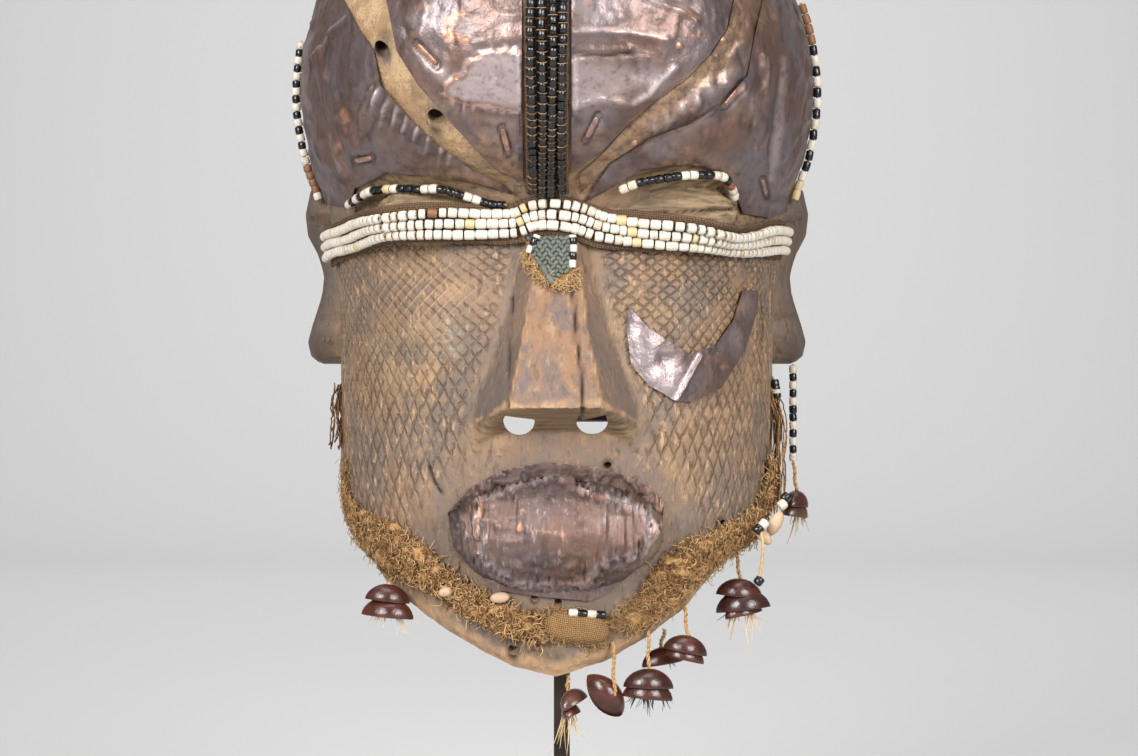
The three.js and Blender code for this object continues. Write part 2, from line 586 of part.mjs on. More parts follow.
// Where a twine starts: on the face, under the rim's cut edge, or below the ear's string of beads.
const onFace = ([x, h]) => [x, helmetFront(x, h) - TWINE - 2 * GAP, h];
const underRim = ([x, h]) => [x, helmetFront(x, h) + MASK.wall / 2, h];
const underEar = () => [out(EAR_STRING.out), EAR_STRING.depth, earStringTop - EAR_STRING.length - GAP];

const RATTLES = {
  rattle_jaw_left: { from: onFace(at(-61.6, 11.63)), twine: [-1.5, 9, 4],
    shells: [{ lean: 0.12, spin: 0.1, drop: 0, size: 0.85 },
      { lean: 0.1, spin: -0.1, drop: 6, size: 1 }] },
  rattle_chin_left: { from: underRim(at(4.4, 0.2)), twine: [0.1, 0, 7.8],
    shells: [{ lean: -0.5, spin: 0.9, drop: 0, size: 0.75 },
      { lean: -0.3, spin: 1.3, drop: 6, size: 0.6 }] },
  rattle_chin_middle: { from: onFace(at(21.2, 4.25)), twine: [1, 2, 23],
    shells: [{ lean: 0.9, spin: 0.1, drop: 0, size: 1 }] },
  rattle_chin_right: { from: onFace(at(34.4, 5.5)), twine: [0.6, 2, 18],
    shells: [{ lean: 0.05, spin: 0.1, drop: 0, size: 0.95 },
      { lean: 0.1, spin: 0, drop: 5, size: 0.95 }] },
  rattle_chin_back: { from: underRim(at(40.8, 5.38)), twine: [-1.5, -9, 9.5],
    shells: [{ lean: -0.15, spin: 0.3, drop: 0, size: 0.85 }] },
  rattle_jaw_middle: { from: onFace(at(48, 8.38)), twine: [2, 4, 14.5],
    shells: [{ lean: 0.2, spin: 0.1, drop: 0, size: 0.85 },
      { lean: 0.25, spin: 0.1, drop: 4.5, size: 0.75 }] },
  rattle_jaw_right: { from: underRim(at(68.8, 14.13)), twine: [2, 7, 12.5],
    shells: [{ lean: 0.1, spin: 0.1, drop: 0, size: 0.9 }, { lean: -0.12, spin: 0, drop: 5, size: 1.05 },
      { lean: -0.2, spin: 0.4, drop: 10, size: 0.8 }] },
  rattle_side_right: { from: underEar(), twine: [2, 0, 14],
    shells: [{ lean: 0.1, spin: 1.3, drop: 0, size: 0.85 },
      { lean: 0.15, spin: 1.2, drop: 5, size: 0.85 }] },
};

// The display stand

// The base plate, with its top edge chamfered.
function standBase() {
  const ring = (inset, z) => [[-1, -1], [1, -1], [1, 1], [-1, 1]].map(([sx, sy]) => (
    new THREE.Vector3(sx * (BASE.width / 2 - inset), sy * (BASE.depth / 2 - inset), z)));
  return skin([ring(0, 0), ring(0, BASE.thickness - BASE.chamfer), ring(BASE.chamfer, BASE.thickness)]);
}

const padUnderside = MASK.height - MASK.wall - PAD.thickness;

function standPost() {
  const top = CHIN_CLEARANCE + padUnderside;
  return new THREE.BoxGeometry(POST.side, POST.side, top - BASE.thickness)
    .translate(POST.x, POST.y, (top + BASE.thickness) / 2);
}

// What fills the hollow, kept clear of its wall.
const hollow = helmetForm(-MASK.wall - GAP, 6, 4, 13);

function crownPad() {
  const block = new THREE.CylinderGeometry(PAD.radius, PAD.radius * 0.8, PAD.thickness * 2, 16)
    .rotateX(Math.PI / 2).translate(POST.x, POST.y, padUnderside + PAD.thickness);
  return solidOf(block).intersect(hollow);
}

// A prong from the post to the hollow's side wall, which keeps the mask from turning.
function standProng(side, level) {
  const [from, to] = [POST.x + (side * POST.side) / 2, side * out(1.1)];
  const rod = new THREE.CylinderGeometry(PRONG.radius, PRONG.radius, Math.abs(to - from), 8)
    .rotateZ(Math.PI / 2).translate((from + to) / 2, POST.y, level);
  return solidOf(rod).intersect(hollow);
}

// Materials

const material = (color, roughness, metalness) => (
  new THREE.MeshStandardMaterial({ color, roughness, metalness }));
const WOOD = material(0x6b5138, 0.75, 0);
const COPPER = material(0x6a5048, 0.38, 0.9);
const WHITE_BEADS = material(0xe9e2d3, 0.35, 0);
const BLACK_BEADS = material(0x1b1b20, 0.2, 0);
const GREEN_BEADS = material(0x5d6a58, 0.4, 0);
const BROWN_CLOTH = material(0x5a3f2a, 0.9, 0);
const RAFFIA_FIBRE = material(0x8a6238, 0.95, 0);
const SEED = material(0x3d140d, 0.25, 0);
const STEEL = material(0x2e211c, 0.45, 0.6);

// Assembly

const mask = new THREE.Group();
mask.position.z = CHIN_CLEARANCE;
const stand = new THREE.Group();

function place(group, name, shape, finish) {
  const mesh = new THREE.Mesh(shape.isBufferGeometry ? shape : geometryOf(shape), finish);
  mesh.name = name;
  group.add(mesh);
}

place(mask, 'wood_helmet', carvedHelmet(), WOOD);
for (const [name, outline] of Object.entries(SHEETS)) place(mask, name, copper(drawn(outline)), COPPER);

const [eyeCloth, eyeBeads] = beadBand(faceStations(PATHS.eyeBand, 28, EYE_BAND.stiffness), EYE_BAND);
place(mask, 'eye_band_cloth', eyeCloth, BROWN_CLOTH);
place(mask, 'eye_band_beads', eyeBeads, WHITE_BEADS);
const crownRun = crownStations(CROWN_BAND.middle, up(0.568), up(0.93), 19);
const [crownCloth, crownBeads] = beadBand(crownRun, CROWN_BAND);
place(mask, 'crown_band_cloth', crownCloth, BROWN_CLOTH);
place(mask, 'crown_band_beads', crownBeads, BLACK_BEADS);

const aboveSheet = SHEET + 3 * GAP;
place(mask, 'brow_beads_left', strand(faceStations(PATHS.browLeft, 10), aboveSheet), BLACK_BEADS);
place(mask, 'brow_beads_right', strand(faceStations(PATHS.browRight, 8), aboveSheet), BLACK_BEADS);
const behindCopper = CORONAL + GAP + STRAND;
const sideRuns = {
  side_beads_left: sideStations(-1, up(0.765), up(0.572), behindCopper, 7),
  side_beads_right: sideStations(1, up(0.81), up(0.572), behindCopper, 8),
};
for (const [name, run] of Object.entries(sideRuns)) {
  place(mask, name, strand(run, aboveSheet), BLACK_BEADS);
}
place(mask, 'ear_string_right', earString(), BLACK_BEADS);
place(mask, 'nose_pendant', nosePendant(), GREEN_BEADS);

place(mask, 'raffia_edge_left', raffiaEdge(PATHS.raffiaLeft, 0.45), RAFFIA_FIBRE);
place(mask, 'raffia_edge_right', raffiaEdge(PATHS.raffiaRight, 0.3), RAFFIA_FIBRE);
place(mask, 'chin_cloth_roll', chinRoll(), RAFFIA_FIBRE);
for (const [name, hung] of Object.entries(RATTLES)) place(mask, name, rattle(hung), SEED);

place(stand, 'stand_base', standBase(), STEEL);
place(stand, 'stand_post', standPost(), STEEL);
place(mask, 'stand_crown_pad', crownPad(), STEEL);
place(mask, 'stand_prong_left', standProng(-1, up(PRONG.leftLevel)), STEEL);
place(mask, 'stand_prong_right', standProng(1, up(PRONG.rightLevel)), STEEL);

const display = new THREE.Group();
display.add(stand, mask);

export default display;
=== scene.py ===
"""A Kuba bwoom helmet mask on its stand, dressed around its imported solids.

Lengths are in millimetres in the mask's own space: x to the viewer's right, y from the ear line to the
back, and h up from the chin.  Every mesh is written in metres, with the chin lifted off the table.
"""

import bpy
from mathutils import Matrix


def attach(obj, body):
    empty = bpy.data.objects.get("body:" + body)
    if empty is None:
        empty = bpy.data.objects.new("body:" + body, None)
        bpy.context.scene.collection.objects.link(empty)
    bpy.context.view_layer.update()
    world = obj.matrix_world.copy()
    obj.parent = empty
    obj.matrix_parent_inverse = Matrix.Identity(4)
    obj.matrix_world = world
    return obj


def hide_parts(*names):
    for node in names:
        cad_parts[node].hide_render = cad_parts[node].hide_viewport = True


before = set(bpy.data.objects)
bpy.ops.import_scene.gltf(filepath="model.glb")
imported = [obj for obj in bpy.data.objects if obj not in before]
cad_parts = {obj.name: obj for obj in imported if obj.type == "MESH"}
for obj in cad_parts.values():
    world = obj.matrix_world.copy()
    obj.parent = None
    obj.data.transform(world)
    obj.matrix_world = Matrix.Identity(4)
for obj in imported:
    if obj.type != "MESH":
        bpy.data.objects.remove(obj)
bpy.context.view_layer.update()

import logging
import math
from dataclasses import dataclass, field
from enum import Enum
from typing import Callable, Iterable, Sequence

import bpy
import numpy as np
from mathutils import Matrix, Vector

LOG = logging.getLogger("mask")
Array = np.ndarray
Object = bpy.types.Object
Socket = bpy.types.NodeSocket
Point = tuple[float, float]

MM = 0.001
CHIN_LIFT = 110.0  # from the table up to the chin
GAP = 0.35  # between one piece and the piece it lies on
SHEET = 0.9  # thickness of the copper
CLOTH = 1.3  # thickness of the strips that beads are sewn to
CORONAL = -20.0  # depth at which the copper stops, ahead of the ears


class Slot(Enum):
    """The record's material slots that the dressing uses."""

    WOOD = "carved_wood"
    COPPER = "patinated_copper"
    WHITE = "white_beads"
    BLACK = "black_beads"
    GREEN = "green_beads"
    CLOTH = "brown_cloth"
    RAFFIA = "raffia"
    SEED = "seed_shell"


# Numbers and curves


def ease(value: Array, low: float, high: float) -> Array:
    """Rises smoothly from 0 at low to 1 at high, or falls where low is the larger."""
    share = np.clip((np.asarray(value, float) - low) / (high - low), 0.0, 1.0)
    return share * share * (3.0 - 2.0 * share)


def arch(share: Array, power: float) -> Array:
    """A quarter of a rounded arch: 1 at share 0, 0 at share 1, and steep there."""
    return (1.0 - np.clip(share, 0.0, 1.0) ** power) ** (1.0 / power)


class SmoothCurve:
    """A smooth curve through a few points, level beyond its last point."""

    def __init__(self, points: Sequence[Point]) -> None:
        """Keeps the points and works out the slope at each.

        Args:
            points: places and values, in rising order of place.
        """
        self.at, self.values = np.array(points, float).T
        steps = np.diff(self.values) / np.diff(self.at)
        before, after = steps[:-1], steps[1:]
        turning = before * after <= 0
        middle = np.where(turning, 0.0, 2.0 * before * after / np.where(turning, 1.0, before + after))
        self.slopes = np.concatenate([steps[:1], middle, [0.0]])

    def __call__(self, place: Array) -> Array:
        """Gives the curve's value at each place."""
        place = np.asarray(place, float)
        i = np.clip(np.searchsorted(self.at, place, side="right") - 1, 0, len(self.at) - 2)
        span = self.at[i + 1] - self.at[i]
        t = np.clip((place - self.at[i]) / span, 0.0, 1.0)
        blend = t * t * (3.0 - 2.0 * t)
        lift = self.slopes[i] * t * (1 - t) ** 2 - self.slopes[i + 1] * t * t * (1 - t)
        return self.values[i] * (1 - blend) + self.values[i + 1] * blend + span * lift


class Grain:
    """Smooth seeded noise in space, between -1 and 1."""

    def __init__(self, seed: int) -> None:
        """Shuffles the table that gives each cell its value."""
        self.table = np.random.RandomState(seed).permutation(256)

    def corner(self, cell: Array) -> Array:
        """Gives the value at each whole cell corner."""
        i, j, k = (cell[..., axis] & 255 for axis in range(3))
        return self.table[(self.table[(self.table[i] + j) & 255] + k) & 255] / 127.5 - 1.0

    def __call__(self, places: Array, size: float | Sequence[float]) -> Array:
        """Gives the noise at each place, with bumps of about the given size."""
        scaled = places / np.asarray(size, float)
        cell = np.floor(scaled).astype(int)
        part = scaled - cell
        part = part * part * (3 - 2 * part)
        total = np.zeros(places.shape[:-1])
        for dx in (0, 1):
            for dy in (0, 1):
                for dz in (0, 1):
                    step = np.array([dx, dy, dz])
                    weight = np.prod(np.where(step == 1, part, 1 - part), axis=-1)
                    total += weight * self.corner(cell + step)
        return total

    def rough(self, places: Array, size: float, octaves: int = 3) -> Array:
        """Adds finer and finer noise at half the strength each time."""
        return sum(self(places, size / 2 ** n) / 2 ** n for n in range(octaves))


def smooth_line(points: Sequence[Sequence[float]], count: int) -> Array:
    """Draws a smooth open curve through points.

    Args:
        points: the places that the curve passes through.
        count: how many places to return.

    Returns:
        The places, one row each.
    """
    places = np.array(points, float)
    padded = np.vstack([2 * places[0] - places[1], places, 2 * places[-1] - places[-2]])
    along = np.linspace(0, len(places) - 1, count)
    i = np.minimum(along.astype(int), len(places) - 2)
    t = (along - i)[:, None]
    p0, p1, p2, p3 = padded[i], padded[i + 1], padded[i + 2], padded[i + 3]
    return 0.5 * (2 * p1 + (p2 - p0) * t + (2 * p0 - 5 * p1 + 4 * p2 - p3) * t ** 2
                  + (3 * p1 - p0 - 3 * p2 + p3) * t ** 3)


def distance_to_line(x: Array, h: Array, points: Sequence[Point], closed: bool = False) -> Array:
    """Gives each place's distance to a line of straight stretches in front view."""
    corners = np.array(points, float)
    ends = np.roll(corners, -1, axis=0) if closed else corners[1:]
    starts = corners if closed else corners[:-1]
    nearest = np.full(np.shape(x), 1e9)
    for (x0, h0), (x1, h1) in zip(starts, ends):
        run_x, run_h = x1 - x0, h1 - h0
        share = np.clip(((x - x0) * run_x + (h - h0) * run_h) / (run_x ** 2 + run_h ** 2), 0, 1)
        nearest = np.minimum(nearest, np.hypot(x - x0 - share * run_x, h - h0 - share * run_h))
    return nearest


def inside(x: Array, h: Array, points: Sequence[Point]) -> Array:
    """Says which places lie inside a closed outline in front view."""
    corners = np.array(points, float)
    result = np.zeros(np.shape(x), bool)
    for (x0, h0), (x1, h1) in zip(corners, np.roll(corners, -1, axis=0)):
        if h0 == h1:
            continue
        crosses = (h0 > h) != (h1 > h)
        result ^= crosses & (x < (x1 - x0) * (h - h0) / (h1 - h0) + x0)
    return result


@dataclass(frozen=True)
class Spot:
    """A soft oval patch in front view."""

    x: float
    h: float
    across: float
    along: float
    amount: float = 1.0
    turn: float = 0.0

    def at(self, x: Array, h: Array) -> Array:
        """Gives the patch's strength at each place."""
        cos, sin = math.cos(self.turn), math.sin(self.turn)
        u = ((x - self.x) * cos + (h - self.h) * sin) / self.across
        v = ((h - self.h) * cos - (x - self.x) * sin) / self.along
        return self.amount * np.exp(-u * u - v * v)


@dataclass(frozen=True)
class Crease:
    """A ridge, or a groove if its height is negative, along a line in front view."""

    points: tuple[Point, ...]
    width: float
    height: float

    def at(self, x: Array, h: Array) -> Array:
        """Gives the crease's height at each place."""
        away = distance_to_line(x, h, self.points) / self.width
        return self.height * np.exp(-away * away)


def add_all(features: Iterable[Spot | Crease], x: Array, h: Array) -> Array:
    """Adds up the strengths of several patches and creases."""
    return sum((feature.at(x, h) for feature in features), np.zeros(np.shape(x)))


# The mask's form


@dataclass(frozen=True)
class MaskForm:
    """The carved form: sizes in millimetres, profiles as shares of them."""

    height: float = 400.0
    half_width: float = 125.0
    front_reach: float = 152.0
    back_reach: float = 138.0
    wall: float = 11.0
    widest: float = 0.695
    bulge: float = 0.745
    front_power: float = 2.35
    back_power: float = 2.1
    width_dome: float = 2.1
    front_dome: float = 2.2
    width: SmoothCurve = SmoothCurve([
        (0, 0.68), (0.075, 0.77), (0.15, 0.835), (0.25, 0.86), (0.4, 0.862), (0.48, 0.88),
        (0.57, 0.912), (0.63, 0.972), (0.695, 1)])
    front: SmoothCurve = SmoothCurve([
        (0, 0.69), (0.05, 0.725), (0.12, 0.745), (0.29, 0.745), (0.4, 0.725), (0.5, 0.69),
        (0.55, 0.69), (0.585, 0.77), (0.625, 0.87), (0.68, 0.955), (0.745, 1)])
    back: SmoothCurve = SmoothCurve([(0, 0.74), (0.34, 0.84), (0.5, 0.93), (0.695, 1)])
    cheek: tuple[float, ...] = (0.5, 0.42, 0.23, 0.075, 5.0)  # out, level, both spreads, rise
    nose_levels: tuple[float, ...] = (0.315, 0.4, 0.48, 0.545)
    nose_ridge: tuple[float, ...] = (21.5, 15.0, 11.0, 9.0)
    nose_flank: tuple[float, ...] = (38.5, 26.0, 18.0, 14.0)
    nose_rise: tuple[float, ...] = (30.4, 19.0, 10.0, 3.0)
    wing_drop: float = 8.0
    under_nose: float = 11.0  # height of the cut end under the nose
    eye: tuple[float, ...] = (52.0, 217.2, 34.0, 9.0, 15.5, 3.0)  # x, h, halves, sunk
    mouth: tuple[float, ...] = (0.0, 67.0, 50.0, 24.0, 25.0, 5.0)
    rim_front: tuple[Point, ...] = (
        (-130, 30), (-87, 21.5), (-86.8, 17.6), (-80, 15.3), (-71.2, 14.9), (-69, 11), (-60, 9.3),
        (-48, 6.6), (-33, 3.6), (-16, 1.1), (0, 0), (17, 1.4), (36, 4.6), (48, 7.4), (61, 12),
        (74, 16.2), (85, 20.2), (130, 30))
    rim_side: tuple[Point, ...] = (
        (-100, -5), (-69.7, -1.5), (-64.5, 3), (-56.6, 7.5), (-47.4, 11.5), (-30.3, 16.75),
        (-7.2, 23), (14.5, 28), (36.2, 31.75), (58, 33.5), (145, 34.25))

    def drawn(self, points: Sequence[Point]) -> list[Point]:
        """Turns hundredths of the half width and of the height into millimetres."""
        return [(x * self.half_width / 100, h * self.height / 100) for x, h in points]

    def reach(self, h: Array, grown: float, full: float, below: SmoothCurve, start: float,
              power: float) -> Array:
        """Gives a profile's size: the drawn curve below, a rounded dome up to the crown."""
        share = np.asarray(h, float) / (self.height + grown)
        dome = arch((share - start) / (1 - start), power)
        return (full + grown) * np.where(share < start, below(share), dome)

    def half_width_at(self, h: Array, grown: float = 0.0) -> Array:
        """Gives the half width at a level."""
        return self.reach(h, grown, self.half_width, self.width, self.widest, self.width_dome)

    def front_at(self, h: Array, grown: float = 0.0) -> Array:
        """Gives the reach ahead of the ear line at a level."""
        return self.reach(h, grown, self.front_reach, self.front, self.bulge, self.front_dome)

    def back_at(self, h: Array, grown: float = 0.0) -> Array:
        """Gives the reach behind the ear line at a level."""
        return self.reach(h, grown, self.back_reach, self.back, self.widest, self.width_dome)

    def bare(self, x: Array, h: Array, grown: float = 0.0) -> Array:
        """Gives the depth of the front without nose, eyes and mouth."""
        out, level, spread_out, spread_up, rise = self.cheek
        across = (np.abs(x) / self.half_width - out) / spread_out
        along = (h / self.height - level) / spread_up
        swell = rise * np.exp(-across * across - along * along)
        side = arch(np.abs(x) / np.maximum(self.half_width_at(h, grown), 1e-6), self.front_power)
        return -(self.front_at(h, grown) + swell) * side

    def nose(self, x: Array, h: Array) -> Array:
        """Gives how far the nose stands out from the face."""
        levels = np.array(self.nose_levels) * self.height
        tip, root = levels[0], levels[-1]
        level = np.clip(h, tip, root)
        ridge = np.interp(level, levels, self.nose_ridge)
        flank = np.interp(level, levels, self.nose_flank)
        rise = SmoothCurve(list(zip(levels, self.nose_rise)))(level)
        down = np.clip((np.abs(x) - ridge) / (flank - ridge), 0, 1)
        hollow = 1.0 - 0.12 * np.sin(math.pi * down) * ease(h, tip, tip + 40)
        camber = 1.5 * np.clip(np.abs(x) / ridge, 0, 1) ** 2 * (1 - down)
        edge = tip - self.wing_drop * down ** 1.2
        under = np.clip((h - edge) / self.under_nose + 1, 0, 1)
        fade = 1 - ease(h, root, root + 10)
        return np.maximum(0, rise * (1 - down) * hollow - camber) * under * fade

    def dome(self, x: Array, h: Array, size: tuple[float, ...]) -> Array:
        """Gives the depth of an oval swelling, or nothing outside it."""
        middle, level, across, deep, along, sunk = size
        rest = 1 - ((x - middle) / across) ** 2 - ((h - level) / along) ** 2
        depth = self.bare(middle, level) + sunk - deep * np.sqrt(np.clip(rest, 0, 1))
        return np.where(rest <= 0, 1e3, depth)

    def face(self, x: Array, h: Array) -> Array:
        """Gives the depth of the front with nose, eyes and mouth."""
        bare = self.bare(x, h)
        left = (-self.eye[0], *self.eye[1:])
        return np.minimum.reduce([
            bare, bare - self.nose(x, h), self.dome(x, h, self.eye), self.dome(x, h, left),
            self.dome(x, h, self.mouth)])

    def at_front(self, turn: Array, h: Array, grown: float = 0.0) -> Array:
        """Gives places on the front, from ear line to ear line, by a turn from -1 to 1."""
        sine = np.sin(0.5 * math.pi * turn)
        x = self.half_width_at(h, grown) * np.sign(sine) * np.abs(sine) ** (2 / self.front_power)
        y = self.face(x, h) if grown == 0 else self.bare(x, h, grown)
        return np.stack([x, y, h + 0 * x], axis=-1)

    def at_back(self, turn: Array, h: Array, grown: float = 0.0) -> Array:
        """Gives places on the back, from the right ear line round to the left, by a turn of 0 to 1."""
        cos, sin = np.cos(math.pi * turn), np.sin(math.pi * turn)
        x = self.half_width_at(h, grown) * np.sign(cos) * np.abs(cos) ** (2 / self.back_power)
        y = self.back_at(h, grown) * np.abs(sin) ** (2 / self.back_power)
        return np.stack([x, y, h + 0 * x], axis=-1)

    def rim(self, x: Array, y: Array) -> Array:
        """Gives the level of the sawn rim at a place in plan."""
        front_x, front_h = np.array(self.rim_front, float).T
        side_y, side_h = np.array(self.rim_side, float).T
        depth = np.where(y < 0, y / self.front_reach, y / self.back_reach) * 100
        front = np.interp(x / self.half_width * 100, front_x, front_h)
        return np.maximum(front, np.interp(depth, side_y, side_h)) * self.height / 100

    def side_at(self, h: Array, depth: float) -> Array:
        """Gives how far out the side is, at a depth ahead of the ear line."""
        return self.half_width_at(h) * arch(-depth / self.front_at(h), self.front_power)


FORM = MaskForm()

LEFT_OF_BAND, RIGHT_OF_BAND = -12.2, 5.8
OUTLINES: dict[str, list[Point]] = {name: FORM.drawn(points) for name, points in {
    "copper_forehead_left": [
        (LEFT_OF_BAND, 57.8), (LEFT_OF_BAND, 103), (-63, 103), (-64, 85), (-62.4, 78.5),
        (-58.4, 72.5), (-50.4, 68.5), (-39.2, 64.5), (-28, 60.8), (-20.8, 58.8)],
    "copper_forehead_right": [
        (RIGHT_OF_BAND, 58.6), (17.6, 61.2), (27, 64.4), (37.6, 67.1), (47.5, 69.4), (57, 72.4),
        (63, 75.4), (65.6, 79), (65, 86), (65, 103), (RIGHT_OF_BAND, 103)],
    "copper_temple_left": [
        (-108, 56.5), (-92, 56.5), (-79.2, 55.5), (-77, 57.6), (-64, 59), (-44, 58.5), (-28, 57.4),
        (-14, 56.2), (-20.8, 57.8), (-32, 59.3), (-43.2, 61.8), (-53.6, 64.8), (-64.8, 68.8),
        (-67.2, 72.8), (-73.6, 75.8), (-80, 79.5), (-83, 82.5), (-90, 86.5), (-108, 88)],
    "copper_temple_right": [
        (10, 55.4), (20, 57), (31, 59), (50, 59.8), (62.4, 59.2), (68, 57.2), (71.2, 54.6),
        (82, 54.3), (92, 55.6), (108, 55.8), (108, 88), (90, 86.5), (77.5, 79.4), (73.6, 74.4),
        (71, 70), (61, 66.5), (49.6, 64.2), (34.4, 62.4), (20, 59.6)],
    "copper_hairline_right": [
        (9.6, 56.6), (19.6, 59.74), (34.1, 62.53), (49.2, 64.33), (60.6, 66.63), (70.75, 70.05),
        (73.25, 74.4), (77.2, 79.4), (79.4, 84), (79.4, 103), (65.5, 103), (65.5, 86), (66.1, 79),
        (63.5, 75.3), (57.5, 72.25), (48, 69.15), (38, 66.85), (27.2, 64.15), (17.8, 60.95),
        (8.5, 58.5)],
    "copper_cheek_crescent": [
        (27.2, 43.4), (26.4, 40.4), (28, 36.6), (34.4, 34.2), (44.8, 32.3), (51.2, 32.2),
        (62.4, 33.8), (72, 38.2), (77.6, 43.2), (77.6, 45.5), (71.2, 45.5), (67.2, 41.8),
        (60, 38.8), (50.4, 37.8), (40.8, 39.5), (33.6, 41.2)],
    "copper_lip_sheet": [
        (-40.5, 19.2), (-38, 15.4), (-30.4, 12.6), (-20.8, 10.3), (-5.6, 9.6), (12.8, 9.1),
        (20.8, 10.2), (31.2, 13.2), (39.2, 17.2), (40.5, 20.6), (31.2, 23), (17, 24.6), (-4, 25.2),
        (-20.8, 24.2), (-32.8, 22)],
}.items()}


# Meshes


def lifted(places: Array) -> Array:
    """Turns places in the mask's space into metres over the table."""
    return (np.asarray(places, float) + np.array([0, 0, CHIN_LIFT])) * MM


def new_piece(name: str, places: Array, faces: Sequence, smooth: bool = True) -> Object:
    """Makes an object from places in the mask's space.

    Args:
        name: the piece's name.
        places: one row for each vertex, in millimetres.
        faces: the vertices of each face, anticlockwise seen from outside.
        smooth: whether its faces are shaded smooth.

    Returns:
        The new object, at the origin.
    """
    mesh = bpy.data.meshes.new(name)
    mesh.from_pydata(lifted(places).tolist(), [], [list(map(int, face)) for face in faces])
    mesh.polygons.foreach_set("use_smooth", [smooth] * len(mesh.polygons))
    mesh.update()
    piece = bpy.data.objects.new(name, mesh)
    bpy.context.scene.collection.objects.link(piece)
    return piece


def set_attribute(piece: Object, name: str, values: Array) -> None:
    """Stores one number for each vertex of a piece."""
    layer = piece.data.attributes.new(name, "FLOAT", "POINT")
    layer.data.foreach_set("value", np.asarray(values, float).ravel())


def set_even(piece: Object, **values: float) -> None:
    """Stores the same number for every vertex, under each name."""
    for name, value in values.items():
        set_attribute(piece, name, np.full(len(piece.data.vertices), value))


def set_uv(piece: Object, name: str, places: Array) -> None:
    """Stores a UV place for each vertex of a piece."""
    layer = piece.data.uv_layers.new(name=name)
    loops = np.zeros(len(piece.data.loops), int)
    piece.data.loops.foreach_get("vertex_index", loops)
    layer.data.foreach_set("uv", places[loops].ravel())


def quads(rows: int, columns: int, closed: bool = False, start: int = 0) -> list[tuple[int, ...]]:
    """Lists the faces of a grid of vertices, each row anticlockwise when the next is nearer the eye."""
    faces = []
    for i in range(rows - 1):
        for j in range(columns if closed else columns - 1):
            k = (j + 1) % columns
            a, b = start + i * columns + j, start + i * columns + k
            faces.append((a, b, b + columns, a + columns))
    return faces


def grid_normals(grid: Array, closed: bool = False) -> Array:
    """Gives the outward direction at each place of a grid of rows and columns."""
    if closed:
        across = np.roll(grid, -1, axis=1) - np.roll(grid, 1, axis=1)
    else:
        across = np.gradient(grid, axis=1)
    normals = np.cross(across, np.gradient(grid, axis=0))
    return normals / np.maximum(np.linalg.norm(normals, axis=-1, keepdims=True), 1e-9)


def plate(name: str, top: Array, bottom: Array) -> Object:
    """Makes a closed plate from two grids of the same shape, its face and its back."""
    rows, columns = top.shape[:2]
    size = rows * columns
    face = quads(rows, columns)
    border = ([(0, j) for j in range(columns)] + [(i, columns - 1) for i in range(1, rows)]
              + [(rows - 1, j) for j in range(columns - 2, -1, -1)]
              + [(i, 0) for i in range(rows - 2, 0, -1)])
    ids = [i * columns + j for i, j in border]
    faces = face + [tuple(size + i for i in reversed(quad)) for quad in face]
    faces += [(size + a, size + b, b, a) for a, b in zip(ids, ids[1:] + ids[:1])]
    return new_piece(name, np.vstack([top.reshape(-1, 3), bottom.reshape(-1, 3)]), faces)


def tube(name: str, grid: Array) -> Object:
    """Makes a closed tube from a grid of rings, with a face over each end."""
    rows, columns = grid.shape[:2]
    faces = quads(rows, columns, closed=True)
    faces += [tuple(reversed(range(columns))), tuple(range((rows - 1) * columns, rows * columns))]
    return new_piece(name, grid.reshape(-1, 3), faces)


def taken(piece: Object) -> tuple[Array, list[tuple[int, ...]]]:
    """Takes the places and faces of a modelled template, which is then deleted."""
    places = np.array([vertex.co[:] for vertex in piece.data.vertices])
    faces = [tuple(polygon.vertices) for polygon in piece.data.polygons]
    bpy.data.objects.remove(piece, do_unlink=True)
    return places, faces


def bevelled(piece: Object, width: float, segments: int, angle: float = 30.0) -> None:
    """Rounds a template's edges that are sharper than an angle in degrees."""
    edge = piece.modifiers.new("edge", "BEVEL")
    edge.width = width
    edge.segments = segments
    edge.angle_limit = math.radians(angle)
    bpy.ops.object.modifier_apply(modifier="edge")


def select_only(*pieces: Object) -> None:
    """Selects these pieces alone and makes the first one active."""
    bpy.ops.object.select_all(action="DESELECT")
    for piece in pieces:
        piece.select_set(True)
    bpy.context.view_layer.objects.active = pieces[0]


def smooth_below(piece: Object, angle: float) -> None:
    """Shades a piece smooth, save over edges sharper than an angle in degrees."""
    select_only(piece)
    bpy.ops.object.shade_smooth_by_angle(angle=math.radians(angle))


def cut(piece: Object, tool: Object, operation: str) -> None:
    """Joins, cuts or intersects a piece with a closed tool, which is then deleted.

    Args:
        piece: the closed piece to change.
        tool: the closed shape that changes it.
        operation: UNION, DIFFERENCE or INTERSECT.
    """
    select_only(piece)
    modifier = piece.modifiers.new("cut", "BOOLEAN")
    modifier.operation = operation
    modifier.solver = "MANIFOLD"
    modifier.object = tool
    bpy.ops.object.modifier_apply(modifier="cut")
    bpy.data.objects.remove(tool, do_unlink=True)


def joined(name: str, pieces: Sequence[Object]) -> Object:
    """Joins several objects into one piece and names it."""
    select_only(*pieces)
    if len(pieces) > 1:
        bpy.ops.object.join()
    piece = bpy.context.view_layer.objects.active
    piece.name = name
    piece.data.name = name
    return piece


def finished(piece: Object, material: bpy.types.Material, slot: Slot, *nodes: str) -> Object:
    """Dresses a piece, lets it ride on the part and stand for its nodes.

    Args:
        piece: the piece, at the origin.
        material: its finish.
        slot: the record's slot that the finish belongs to; not used.
        nodes: the CAD nodes that it replaces.

    Returns:
        The same piece.
    """
    piece.data.materials.clear()
    piece.data.materials.append(material)
    if nodes:
        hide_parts(*nodes)
    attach(piece, "root")
    LOG.info("%s: %d faces", piece.name, len(piece.data.polygons))
    return piece


